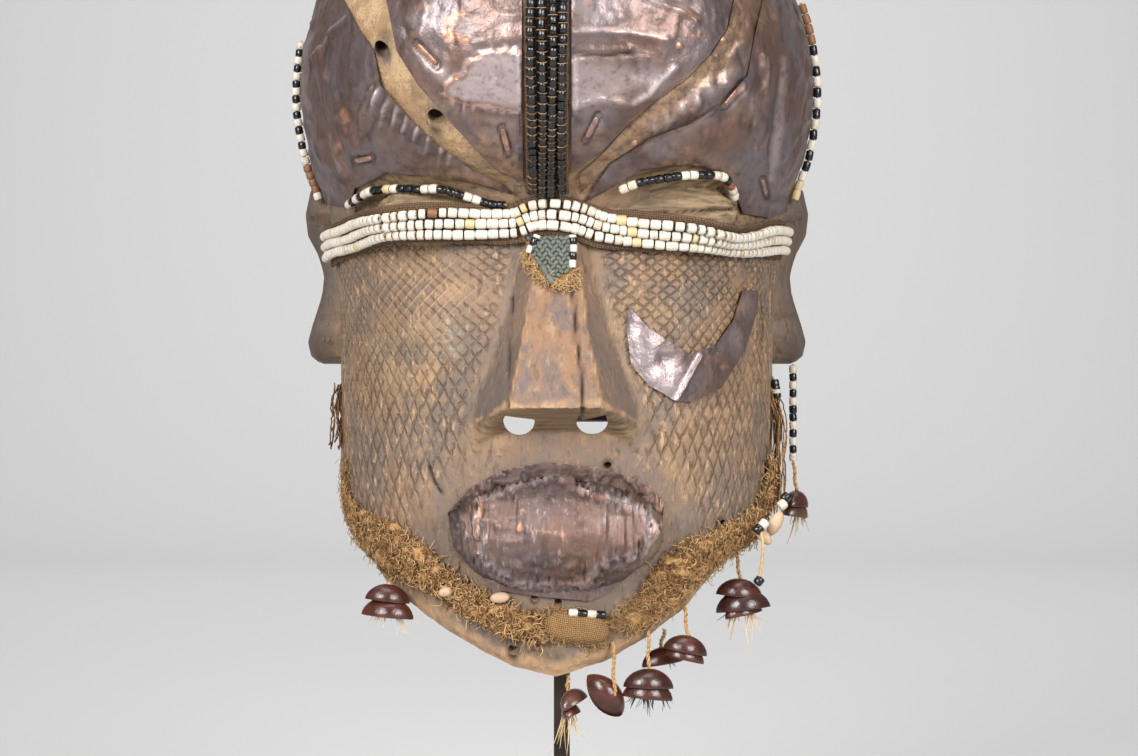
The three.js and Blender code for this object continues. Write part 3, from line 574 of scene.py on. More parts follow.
def front_prism(outline: Sequence[Point], start: float, end: float) -> Object:
    """Makes a closed prism from an outline in front view, from one depth to another."""
    area = sum(x0 * h1 - x1 * h0 for (x0, h0), (x1, h1) in zip(outline, outline[1:] + outline[:1]))
    ring = list(outline) if area > 0 else list(reversed(outline))
    count = len(ring)
    places = [(x, start, h) for x, h in ring] + [(x, end, h) for x, h in ring]
    faces = [tuple(range(count)), tuple(range(2 * count - 1, count - 1, -1))]
    faces += [(j + count, (j + 1) % count + count, (j + 1) % count, j) for j in range(count)]
    return new_piece("prism", np.array(places), faces, smooth=False)


# Finishes


class Finish:
    """Builds one procedural material, node by node."""

    def __init__(self, name: str, roughness: float = 0.6, metallic: float = 0.0,
                 specular: float = 0.5) -> None:
        """Starts a material with its plain values on the shader itself.

        Args:
            name: the material's name.
            roughness: how dull it is where nothing else is linked.
            metallic: how metallic it is.
            specular: the strength of its plain reflection.
        """
        self.material = bpy.data.materials.new(name)
        self.material.use_nodes = True
        self.nodes = self.material.node_tree.nodes
        self.links = self.material.node_tree.links
        self.shader = self.nodes["Principled BSDF"]
        self.shader.inputs["Roughness"].default_value = roughness
        self.shader.inputs["Metallic"].default_value = metallic
        self.shader.inputs["Specular IOR Level"].default_value = specular

    def feed(self, socket: Socket, value: Socket | float | Sequence[float]) -> None:
        """Links a socket, or sets it where the value is plain."""
        if isinstance(value, Socket):
            self.links.new(value, socket)
        else:
            socket.default_value = value

    def place(self, stretch: Sequence[float] = (1, 1, 1)) -> Socket:
        """Gives the place on the object, stretched along its axes."""
        source = self.nodes.new("ShaderNodeTexCoord")
        mapping = self.nodes.new("ShaderNodeMapping")
        mapping.inputs["Scale"].default_value = stretch
        self.links.new(source.outputs["Object"], mapping.inputs["Vector"])
        return mapping.outputs["Vector"]

    def uv(self, name: str) -> Socket:
        """Gives a UV map's places."""
        node = self.nodes.new("ShaderNodeUVMap")
        node.uv_map = name
        return node.outputs["UV"]

    def attribute(self, name: str) -> Socket:
        """Gives a number stored on the mesh."""
        node = self.nodes.new("ShaderNodeAttribute")
        node.attribute_name = name
        return node.outputs["Fac"]

    def noise(self, scale: float, detail: float = 4.0, roughness: float = 0.55,
              stretch: Sequence[float] = (1, 1, 1), vector: Socket | None = None) -> Socket:
        """Gives soft noise of a scale in bumps for each metre."""
        node = self.nodes.new("ShaderNodeTexNoise")
        node.inputs["Scale"].default_value = scale
        node.inputs["Detail"].default_value = detail
        node.inputs["Roughness"].default_value = roughness
        self.links.new(vector or self.place(stretch), node.inputs["Vector"])
        return node.outputs["Fac"]

    def math(self, operation: str, first: Socket | float, second: Socket | float = 0.0) -> Socket:
        """Works out one sum on numbers."""
        node = self.nodes.new("ShaderNodeMath")
        node.operation = operation
        for socket, value in zip(node.inputs, (first, second)):
            self.feed(socket, value)
        return node.outputs["Value"]

    def plus(self, first: Socket | float, second: Socket | float) -> Socket:
        """Adds two numbers."""
        return self.math("ADD", first, second)

    def minus(self, first: Socket | float, second: Socket | float) -> Socket:
        """Takes the second number from the first."""
        return self.math("SUBTRACT", first, second)

    def times(self, first: Socket | float, second: Socket | float) -> Socket:
        """Multiplies two numbers."""
        return self.math("MULTIPLY", first, second)

    def layered(self, ground: Socket, *coats: tuple) -> Socket:
        """Lays coats of colour over a ground.

        Args:
            ground: the colour underneath.
            coats: each coat's colour, where it lies from 0 to 1, and how strong it is there.

        Returns:
            The colour that shows.
        """
        for colour, where, strength in coats:
            share = where if strength == 1.0 else self.times(where, strength)
            ground = self.mix(share, ground, colour)
        return ground

    def ease(self, value: Socket, low: float, high: float) -> Socket:
        """Rises smoothly from 0 at low to 1 at high, or falls where low is the larger."""
        node = self.nodes.new("ShaderNodeMapRange")
        node.interpolation_type = "SMOOTHSTEP"
        ends = (low, high, 0.0, 1.0) if low < high else (high, low, 1.0, 0.0)
        self.links.new(value, node.inputs["Value"])
        for name, end in zip(("From Min", "From Max", "To Min", "To Max"), ends):
            node.inputs[name].default_value = end
        return node.outputs["Result"]

    def mix(self, share: Socket | float, first: Socket | Sequence[float],
            second: Socket | Sequence[float]) -> Socket:
        """Mixes two colours."""
        node = self.nodes.new("ShaderNodeMix")
        node.data_type = "RGBA"
        self.feed(node.inputs["Factor"], share)
        colours = [socket for socket in node.inputs if socket.type == "RGBA"]
        for socket, value in zip(colours, (first, second)):
            self.feed(socket, value if isinstance(value, Socket) else (*value, 1.0))
        return next(socket for socket in node.outputs if socket.type == "RGBA")

    def bump(self, height: Socket, depth: float, strength: float = 1.0,
             before: Socket | None = None) -> Socket:
        """Gives the shading of fine relief whose full height is a depth in metres."""
        node = self.nodes.new("ShaderNodeBump")
        node.inputs["Distance"].default_value = depth
        node.inputs["Strength"].default_value = strength
        self.links.new(height, node.inputs["Height"])
        if before is not None:
            self.links.new(before, node.inputs["Normal"])
        return node.outputs["Normal"]

    def colour(self, value: Socket | Sequence[float]) -> None:
        """Sets or links the base colour."""
        self.feed(self.shader.inputs["Base Color"],
                  value if isinstance(value, Socket) else (*value, 1.0))

    def roughness(self, value: Socket) -> None:
        """Links the roughness."""
        self.links.new(value, self.shader.inputs["Roughness"])

    def normal(self, value: Socket) -> None:
        """Links the shading normal."""
        self.links.new(value, self.shader.inputs["Normal"])


@dataclass(frozen=True)
class CarvedWood:
    """Old carved wood: scored lozenges, rubbed edges and grain, with painted shade in its hollows and
    grooves and painted highlights on the cheeks.
    """

    deep: tuple[float, ...] = (0.048, 0.031, 0.021)
    body: tuple[float, ...] = (0.214, 0.134, 0.079)
    grey: tuple[float, ...] = (0.152, 0.110, 0.083)
    fleck: tuple[float, ...] = (0.440, 0.275, 0.150)
    # pale tan for rubbed edges, and for the painted highlights on the cheeks
    wear_and_highlight: tuple[float, ...] = (0.420, 0.258, 0.134)
    pale: tuple[float, ...] = (0.440, 0.300, 0.170)
    # painted shade beside and under the nose, at the mouth, the chin and over the ears
    dusk: tuple[float, ...] = (0.108, 0.081, 0.073)
    russet: tuple[float, ...] = (0.245, 0.132, 0.070)
    violet: tuple[float, ...] = (0.130, 0.097, 0.087)
    olive: tuple[float, ...] = (0.255, 0.170, 0.090)
    copper_salt: tuple[float, ...] = (0.250, 0.265, 0.205)

    lid_dark: tuple[float, ...] = (0.105, 0.068, 0.040)
    bare_dark: tuple[float, ...] = (0.200, 0.125, 0.065)
    bare_body: tuple[float, ...] = (0.290, 0.180, 0.095)
    burnt: tuple[float, ...] = (0.120, 0.084, 0.058)
    # painted shade: the black in the cracks and peg holes
    pitch_black: tuple[float, ...] = (0.014, 0.009, 0.007)

    def lozenges(self, f: Finish) -> tuple[Socket, Socket]:
        """Draws the scored lines, and the raised strips between them on one cheek."""
        split = f.nodes.new("ShaderNodeSeparateXYZ")
        f.links.new(f.uv("lattice"), split.inputs["Vector"])
        falling, rising = split.outputs["X"], split.outputs["Y"]
        wobble = f.times(f.minus(f.noise(150, 4), 0.5), 0.75)
        lines = []
        for family, name in ((falling, "falling"), (rising, "rising")):
            away = f.math("PINGPONG", f.plus(family, wobble), 0.5)
            lines.append(f.times(f.ease(away, 0.20, 0.0), f.attribute(name)))
        line = f.times(f.math("MAXIMUM", *lines), f.ease(f.noise(85, 3), 0.25, 0.6))
        ridge = f.math("PINGPONG", f.plus(rising, f.times(wobble, 0.25)), 0.5)
        return line, f.times(f.ease(ridge, 0.22, 0.05), f.attribute("raised"))

    def nose(self, f: Finish, upright: Socket) -> Socket:
        """Mixes the nose's bruised russet, streaked upright."""
        bruise = f.ease(f.noise(85, 6, 0.72, stretch=(1.0, 1.0, 0.5)), 0.40, 0.62)
        return f.layered(f.mix(bruise, self.russet, self.violet),
                         (self.fleck, f.ease(upright, 0.54, 0.7), 0.45),
                         (self.deep, f.ease(upright, 0.46, 0.32), 0.45))

    def eyelid(self, f: Finish) -> Socket:
        """Mixes the eyelids' olive, streaked from side to side."""
        across = f.noise(420, 5, 0.6, stretch=(0.09, 1.0, 1.0))
        return f.mix(f.ease(across, 0.35, 0.62), self.lid_dark, self.olive)

    def uncovered(self, f: Finish) -> Socket:
        """Mixes the pale, speckled and burnt wood where the copper is lost."""
        speckle = f.plus(0.35, f.times(0.65, f.ease(f.noise(700, 4, 0.75), 0.38, 0.5)))
        stain = f.ease(f.noise(70, 5, 0.65), 0.38, 0.6)
        wood = f.mix(speckle, self.bare_dark, f.mix(stain, self.bare_body, self.pale))
        burns = f.ease(f.noise(52, 4, 0.6, stretch=(1.0, 1.0, 0.5)), 0.54, 0.68)
        return f.layered(wood, (self.burnt, burns, 0.6))

    def build(self) -> bpy.types.Material:
        """Builds the material."""
        f = Finish("carved_wood", roughness=0.62, specular=0.35)
        line, raised = self.lozenges(f)
        grain = f.noise(190, 5, 0.65, stretch=(1.0, 1.0, 0.2))
        mottle = f.noise(95, 5, 0.65)
        light = f.ease(f.noise(330, 4, 0.6, stretch=(1.0, 1.0, 0.42)), 0.54, 0.68)
        dark = f.ease(f.noise(360, 4, 0.6, stretch=(1.0, 1.0, 0.3)), 0.46, 0.33)
        streak = f.noise(300, 4, 0.6, stretch=(1.0, 1.0, 0.07))
        at_side = f.attribute("flank")
        upright = f.noise(240, 4, 0.6, stretch=(1.0, 1.0, 0.12))
        # the painted shade's colour: dark brown lifted by pale flecks
        soot = f.layered(self.dusk, (self.body, light, 0.4))
        patchy = f.ease(f.plus(f.attribute("wear_and_highlight"), f.times(f.minus(mottle, 0.5), 1.5)), 0.3, 1.0)
        patchy = f.times(patchy, f.plus(0.55, f.times(0.45, f.ease(upright, 0.38, 0.58))))
        salt = f.times(f.attribute("verdigris"), f.ease(f.noise(300, 4, 0.6), 0.47, 0.66))
        f.colour(f.layered(
            f.mix(f.ease(f.noise(30, 3), 0.36, 0.62), self.grey, self.body),
            (self.fleck, f.ease(mottle, 0.48, 0.75), 0.4),
            (self.fleck, light, f.plus(0.34, f.times(f.attribute("scored"), 0.5))),
            (self.deep, dark, 0.55),
            # painted shade along the scored grooves
            (self.deep, line, 0.42),
            (self.fleck, raised, 0.45),
            (self.fleck, f.ease(streak, 0.52, 0.64), f.times(at_side, 0.6)),
            (self.deep, f.ease(streak, 0.5, 0.38), f.times(at_side, 0.7)),
            # painted shade over the nose's flanks, under the nose, at the mouth, the chin and the ears
            (soot, f.attribute("dusk"), 0.72),
            (self.nose(f, upright), f.attribute("nose"), 0.9),
            (self.eyelid(f), f.attribute("lid"), 1.0),
            # pale rubbed wood, and painted highlights on the cheeks
            (self.wear_and_highlight, patchy, 0.78),
            (self.uncovered(f), f.attribute("bare"), 1.0),
            (self.copper_salt, salt, 0.7),
            # painted shade: black in the cracks and peg holes, and a little over the ears
            (self.pitch_black, f.attribute("crack"), 1.0)))
        height = f.minus(f.times(grain, 0.5), f.times(line, 0.75))
        for part, share in ((raised, 0.4), (mottle, 0.6), (light, 0.25), (f.noise(1400, 2), 0.12)):
            height = f.plus(height, f.times(part, share))
        f.normal(f.bump(height, 0.0013, 0.85))
        f.roughness(f.plus(0.43, f.times(mottle, 0.3)))
        return f.material


@dataclass(frozen=True)
class BeatenCopper:
    """Beaten copper sheet under an old violet and brown patina."""

    violet: tuple[float, ...] = (0.148, 0.120, 0.122)
    brown: tuple[float, ...] = (0.150, 0.088, 0.068)
    dark: tuple[float, ...] = (0.040, 0.029, 0.028)
    silver: tuple[float, ...] = (0.520, 0.430, 0.420)
    orange: tuple[float, ...] = (0.560, 0.260, 0.145)
    tan: tuple[float, ...] = (0.330, 0.205, 0.110)

    def build(self) -> bpy.types.Material:
        """Builds the material."""
        f = Finish("patinated_copper", roughness=0.36, metallic=0.6, specular=0.5)
        dull = f.attribute("dull")
        broad = f.noise(24, 4, 0.6)
        streak = f.noise(48, 6, 0.68, stretch=(1, 1, 0.5))
        fine = f.noise(260, 5, 0.68)
        rubbed = f.times(f.ease(streak, 0.58, 0.76), f.ease(fine, 0.36, 0.58))
        scratch = f.ease(f.noise(520, 4, 0.6, stretch=(1, 1, 0.12)), 0.57, 0.68)
        shade = f.ease(f.noise(110, 5, 0.62, stretch=(1, 1, 0.22)), 0.52, 0.34)
        glow = f.ease(f.plus(f.attribute("glow"), f.times(f.minus(fine, 0.5), 1.1)), 0.28, 0.85)
        f.colour(f.layered(
            f.mix(f.ease(broad, 0.40, 0.64), self.brown, self.violet),
            (self.orange, rubbed, 0.5),
            (self.dark, f.ease(fine, 0.48, 0.3), 0.4),
            (self.brown, dull, 0.6),
            (f.mix(f.ease(broad, 0.5, 0.42), self.silver, self.orange), scratch, f.times(dull, 0.45)),
            (self.dark, shade, 0.45),
            # silver: burnishing, and painted highlights on ridges and bumps
            (f.mix(f.ease(fine, 0.2, 0.55), self.violet, self.silver), f.attribute("burnish"), 0.8),
            (f.mix(f.ease(fine, 0.34, 0.6), self.brown, self.tan), f.attribute("tan"), 0.85),
            (self.orange, glow, 0.85),
            # painted shade in grooves, cracks and staple slits, and the dark crust over the lip
            (self.dark, f.attribute("soot"), 1.0)))
        pitted = f.plus(f.noise(150, 4, 0.6), f.times(fine, 0.35))
        f.normal(f.bump(pitted, 0.0010, 0.6))
        rough = f.plus(0.27, f.times(streak, 0.2))
        rough = f.plus(rough, f.times(f.attribute("soot"), 0.25))
        f.roughness(f.plus(rough, f.times(dull, 0.2)))
        return f.material


@dataclass(frozen=True)
class BeadGlass:
    """Chalky white, glossy black, grey-green, rust and cream beads, told apart by an attribute."""

    white: tuple[float, ...] = (0.575, 0.525, 0.445)
    chalk: tuple[float, ...] = (0.42, 0.315, 0.205)
    black: tuple[float, ...] = (0.006, 0.006, 0.007)
    green: tuple[float, ...] = (0.070, 0.082, 0.066)
    rust: tuple[float, ...] = (0.190, 0.080, 0.034)
    cream: tuple[float, ...] = (0.52, 0.40, 0.21)

    def build(self) -> bpy.types.Material:
        """Builds the material."""
        f = Finish("bead_glass", roughness=0.4, specular=0.5)
        kind, tint = f.attribute("kind"), f.attribute("tint")
        dirt = f.noise(900, 4, 0.6)
        chalk = f.mix(f.ease(f.plus(f.times(tint, 0.35), dirt), 0.72, 1.0),
                      self.white, self.chalk)
        colour = f.mix(f.ease(kind, 0.4, 0.6), chalk, self.black)
        colour = f.mix(f.ease(kind, 1.4, 1.6), colour, f.mix(tint, self.green, (0.115, 0.125, 0.10)))
        colour = f.mix(f.ease(kind, 2.4, 2.6), colour, self.rust)
        colour = f.mix(f.ease(kind, 3.4, 3.6), colour, self.cream)
        f.colour(colour)
        black = f.times(f.ease(kind, 0.4, 0.6), f.ease(kind, 1.6, 1.4))
        rough = f.minus(f.plus(0.42, f.times(dirt, 0.2)),
                       f.times(black, 0.36))
        f.roughness(rough)
        f.normal(f.bump(f.noise(1500, 3), 0.0002, 0.5))
        return f.material


@dataclass(frozen=True)
class RaffiaFibre:
    """Golden-brown raffia fibre, from dark to pale by its tint."""

    dark: tuple[float, ...] = (0.150, 0.074, 0.030)
    body: tuple[float, ...] = (0.410, 0.232, 0.096)
    pale: tuple[float, ...] = (0.640, 0.420, 0.205)

    def build(self) -> bpy.types.Material:
        """Builds the material."""
        f = Finish("raffia_fibre", roughness=0.85, specular=0.2)
        tone = f.plus(f.attribute("tint"), f.times(f.minus(f.noise(700, 3), 0.5), 0.9))
        colour = f.mix(f.ease(tone, 0.05, 0.45), self.dark, self.body)
        colour = f.mix(f.ease(tone, 0.5, 1.0), colour, self.pale)
        f.colour(colour)
        f.normal(f.bump(f.noise(1600, 4, 0.7), 0.0006, 0.9))
        return f.material


@dataclass(frozen=True)
class Straw:
    """Cream straw and black fibre, told apart by the tint."""

    def build(self) -> bpy.types.Material:
        """Builds the material."""
        f = Finish("straw", roughness=0.6, specular=0.3)
        f.colour(f.mix(f.ease(f.attribute("tint"), 0.15, 0.8), (0.025, 0.022, 0.02), (0.60, 0.44, 0.24)))
        f.normal(f.bump(f.noise(1200, 3), 0.0002, 0.4))
        return f.material


@dataclass(frozen=True)
class WovenCloth:
    """Plain weave, with threads a set distance apart."""

    name: str
    thread: float  # distance between threads in millimetres
    dark: tuple[float, ...]
    light: tuple[float, ...]

    def build(self) -> bpy.types.Material:
        """Builds the material."""
        f = Finish(self.name, roughness=0.9, specular=0.2)
        split = f.nodes.new("ShaderNodeSeparateXYZ")
        f.links.new(f.uv("along"), split.inputs["Vector"])
        ways = []
        for axis in ("X", "Y"):
            scaled = f.math("DIVIDE", split.outputs[axis], self.thread)
            ways.append((f.math("PINGPONG", scaled, 0.5), f.math("FLOOR", scaled)))
        (warp, i), (weft, j) = ways
        over = f.math("PINGPONG", f.plus(i, j), 1.0)
        first = f.times(f.ease(warp, 0.0, 0.4), over)
        second = f.times(f.ease(weft, 0.0, 0.4), f.minus(1.0, over))
        height = f.plus(first, second)
        blotch = f.noise(240, 4)
        # the colour follows the weave's height as well as the blotches: painted shade between the threads
        tone = f.plus(f.times(height, 0.6), f.times(blotch, 0.6))
        f.colour(f.mix(f.ease(tone, 0.2, 0.95), self.dark, self.light))
        f.normal(f.bump(f.plus(height, f.noise(1500, 3)), 0.0005, 0.8))
        return f.material


@dataclass(frozen=True)
class PolishedSeed:
    """Glossy red-brown seed shell, clouded dark and red; pale where the tint is high."""

    red: tuple[float, ...] = (0.074, 0.016, 0.008)
    dark: tuple[float, ...] = (0.028, 0.010, 0.007)
    pale: tuple[float, ...] = (0.55, 0.40, 0.26)

    def build(self) -> bpy.types.Material:
        """Builds the material."""
        f = Finish("polished_seed", roughness=0.26, specular=0.55)
        cloud = f.noise(130, 4, 0.6)
        tint = f.attribute("tint")
        tone = f.plus(cloud, f.times(f.minus(tint, 0.5), 0.22))
        colour = f.mix(f.ease(tone, 0.25, 0.75), self.dark, self.red)
        colour = f.mix(f.ease(tint, 0.93, 0.94), colour, f.mix(cloud, self.pale, (0.36, 0.22, 0.14)))
        f.colour(colour)
        rough = f.plus(0.17, f.times(cloud, 0.2))
        f.roughness(f.plus(rough, f.times(f.ease(tint, 0.93, 0.94), 0.35)))
        f.normal(f.bump(f.noise(420, 3), 0.0004, 0.5))
        return f.material


@dataclass(frozen=True)
class BrownedSteel:
    """Dark brown patinated steel for the stand."""

    light: tuple[float, ...] = (0.050, 0.032, 0.024)
    dark: tuple[float, ...] = (0.022, 0.014, 0.011)

    def build(self) -> bpy.types.Material:
        """Builds the material."""
        f = Finish("browned_steel", roughness=0.42, metallic=0.6)
        cloud = f.noise(40, 4)
        f.colour(f.mix(f.ease(cloud, 0.35, 0.65), self.dark, self.light))
        f.normal(f.bump(f.noise(900, 3), 0.0002, 0.35))
        f.roughness(f.plus(0.34, f.times(cloud, 0.2)))
        return f.material


# The carved helmet


@dataclass
class Lattice:
    """The two families of scored lines that cross over the cheeks."""

    pitch: float = 7.0
    arc: float = 108.0
    slants: tuple[Point, ...] = ((0, 0.45), (95, 0.48), (130, 0.6), (165, 1.1), (215, 1.5))

    def coordinates(self, turn: Array, h: Array) -> tuple[Array, Array]:
        """Gives how many falling and how many rising lines lie to the left of each place."""
        levels = np.linspace(-10, 260, 541)
        climbed = np.concatenate([[0], np.cumsum(SmoothCurve(self.slants)(levels[:-1])) * 0.5])
        lean = np.interp(h, levels, climbed)
        across = turn * self.arc * 0.5 * math.pi
        return (across + lean) / self.pitch, (across - lean) / self.pitch


class Wear:
    """What the knife, hands and age did to the helmet's outer face, and where shade and highlights are
    painted on it, at each place on it.
    """

    def __init__(self, places: Array, turns: Array, above_rim: Array) -> None:
        """Keeps the places and works out where the nose and the mouth lie among them.

        Args:
            places: the outer grid of places.
            turns: each column's turn over the front, or beyond 1 at the back.
            above_rim: each place's height over the rim.
        """
        self.places, self.turns, self.above_rim = places, turns, above_rim
        self.x, self.y, self.h = places[..., 0], places[..., 1], places[..., 2]
        self.side = np.abs(self.x)
        self.ahead = self.y < 0
        self.noise = Grain(7)
        self.front = 1 - ease(np.abs(turns), 0.86, 0.97)
        levels = np.array(FORM.nose_levels) * FORM.height
        self.ridge = np.interp(self.h, levels, FORM.nose_ridge)
        self.flank = np.interp(self.h, levels, FORM.nose_flank)
        self.down = np.clip((self.side - self.ridge) / (self.flank - self.ridge), 0, 1)
        self.lip = levels[0] - FORM.wing_drop * self.down ** 1.2
        self.on_nose = FORM.nose(self.x, self.h) > 0.5
        self.under_nose = self.on_nose & (self.h <= self.lip - 0.8)
        self.mouth = np.hypot(self.x / 63, (self.h - 68) / 38)
        self.rim_edge = np.exp(-(above_rim / 2.6) ** 2)

    def spot(self, *size: float, turn: float = 0.0) -> Array:
        """Gives a soft oval patch's strength at each place."""
        return Spot(*size, turn=turn).at(self.x, self.h)

    def scored(self) -> Array:
        """Gives where the lozenges are cut: over the cheeks, clear of nose, mouth, eyes and chin."""
        beside_nose = np.where(self.h > 106, ease(self.side, self.flank + 1, self.flank + 7), 1)
        under_tip = np.where(self.side < 17, ease(self.h, 100, 108), 0)
        chin = ease(self.above_rim, 34, 24) * ease(self.side, 92, 70)
        around_mouth = ease(self.mouth, 0.96, 1.3)
        return (beside_nose * around_mouth * ease(self.h, 208, 200) * self.front * (1 - under_tip)
                * (1 - chin))

    def cracks(self, lines: Sequence[tuple], holes: Sequence[tuple]) -> tuple[Array, Array]:
        """Gives how deep the cracks are, and the painted shade that blackens the cracks and the peg holes.
        """
        deep = np.zeros_like(self.x)
        for points, width in lines:
            deep = np.maximum(deep, np.exp(-(distance_to_line(self.x, self.h, points) / width) ** 2))
        deep = np.where(self.ahead, deep, 0) * ease(self.noise(self.places, 6), -0.9, -0.2)
        dark = deep
        # a dark oval a little wider than each peg hole: painted shade in its mouth
        for x, h, radius in holes:
            away = np.hypot(self.x - x, (self.h - h) * 0.62) / (radius + 0.7)
            dark = np.maximum(dark, np.exp(-away ** 6) * self.ahead)
        return deep, dark

    def relief(self, strong: Sequence[Array], offsets: Sequence[Array], raised: Array,
               crack: Array) -> Array:
        """Works out the depth to carve.

        Args:
            strong: how strong each family of scored lines is.
            offsets: how far each place is from the nearest line of each family, in pitches.
            raised: where strips stand up between the lines.
            crack: how deep the cracks are.

        Returns:
            The depth at each place.
        """
        grooves = [np.exp(-(offset / 0.1) ** 2) * family for offset, family in zip(offsets, strong)]
        groove = np.maximum(*grooves) * ease(self.noise(self.places, 11), -0.75, 0.15)
        pits = ease(self.noise(self.places, 2.6), -0.25, -0.75) * raised
        carved = 0.62 * groove + 0.42 + 0.28 * self.noise.rough(self.places, 16, 3) + 0.5 * pits
        carved = carved - 0.34 * raised * np.exp(-(offsets[1] / 0.13) ** 2) + 1.6 * crack
        carved = carved + 1.7 * self.rim_edge * (1 + 0.6 * self.noise(self.places, 9))
        slack = np.maximum(self.noise.rough(self.places, 28, 2), 0) * 0.5
        return np.maximum(carved + np.where(self.h > 228, slack, 0), 0.02)

    def wear_and_highlight(self) -> Array:
        """Gives where hands rubbed the wood pale on the nose's edges and foot, the rim and the chin, and
        the painted highlights on the cheeks.
        """
        foot = self.on_nose * np.exp(-((self.h - self.lip - 1.5) / (4.2 - 3.2 * self.down)) ** 2)
        foot = foot * (self.h > self.lip - 0.8) * ease(self.noise(self.places, 5), -1.0, 0.2)
        edges = np.exp(-((self.side - self.ridge) / 0.9) ** 2) * self.on_nose * ease(self.h, 205, 170)
        # painted highlights on the cheeks
        cheeks = add_all((Spot(-66, 143, 15, 11, 0.62), Spot(60, 92, 24, 30, 0.42),
                          Spot(78, 120, 16, 26, 0.3), Spot(-58, 100, 20, 25, 0.3),
                          Spot(-75, 130, 18, 20, 0.25)), self.x, self.h)
        chin = np.exp(-((self.above_rim - 3) / 7) ** 2) * ease(self.side, 92, 70) * self.front
        return np.maximum.reduce([
            0.9 * foot, 0.9 * edges, cheeks, 0.9 * self.rim_edge, 0.9 * chin]) * self.front

    def dusk(self) -> Array:
        """Gives the painted shade: on the nose's flanks, beside and below it, at the mouth and at the chin.
        """
        on_flank = self.on_nose & (self.side > self.ridge) & (self.h > 118)
        return np.maximum.reduce([
            np.where(on_flank, 0.8 * ease(self.h, 210, 150), 0), 0.8 * self.spot(-40, 148, 10, 22),
            0.5 * ease(self.mouth, 1.25, 0.95) * self.ahead, 0.45 * self.spot(0, 104, 22, 9),
            0.75 * self.spot(-26, 19, 24, 9, turn=-0.3) * self.ahead])

    def bare(self, seam: Sequence[Point]) -> Array:
        """Gives where the wood is bare: the lost strip on the left, and along the seam on the right."""
        under_copper = self.y < -18
        strip = (self.x < -14) & (self.h > 214) & under_copper
        lost = np.where(strip, ease(self.h, 236, 244) * ease(self.side, 14, 20), 0)
        away = distance_to_line(self.x, self.h, seam)
        return np.maximum(lost, ease(away, 13, 9) * (self.x > 6) * under_copper * 0.8)

    def lids(self) -> Array:
        """Gives the eyelids, and the cut end under the nose, which has their colour."""
        lid = ease(self.h, 211, 214) * ease(self.h, 246, 240) * ease(self.side, 18, 24)
        return np.where(self.under_nose, 0.85, lid * ease(self.side, 100, 92) * self.ahead)

    def nose(self) -> Array:
        """Gives the flat of the nose, from its tip up to the band."""
        flat = self.on_nose & (self.side <= self.ridge + 1) & ~self.under_nose
        return np.where(flat, ease(self.h, 212, 196), 0.0)

    def streaked_sides(self) -> Array:
        """Gives the sides of the face, where the light streaks down."""
        turns = np.abs(self.turns)
        return ease(turns, 0.72, 0.9) * (turns <= 1) * ease(self.h, 214, 200)


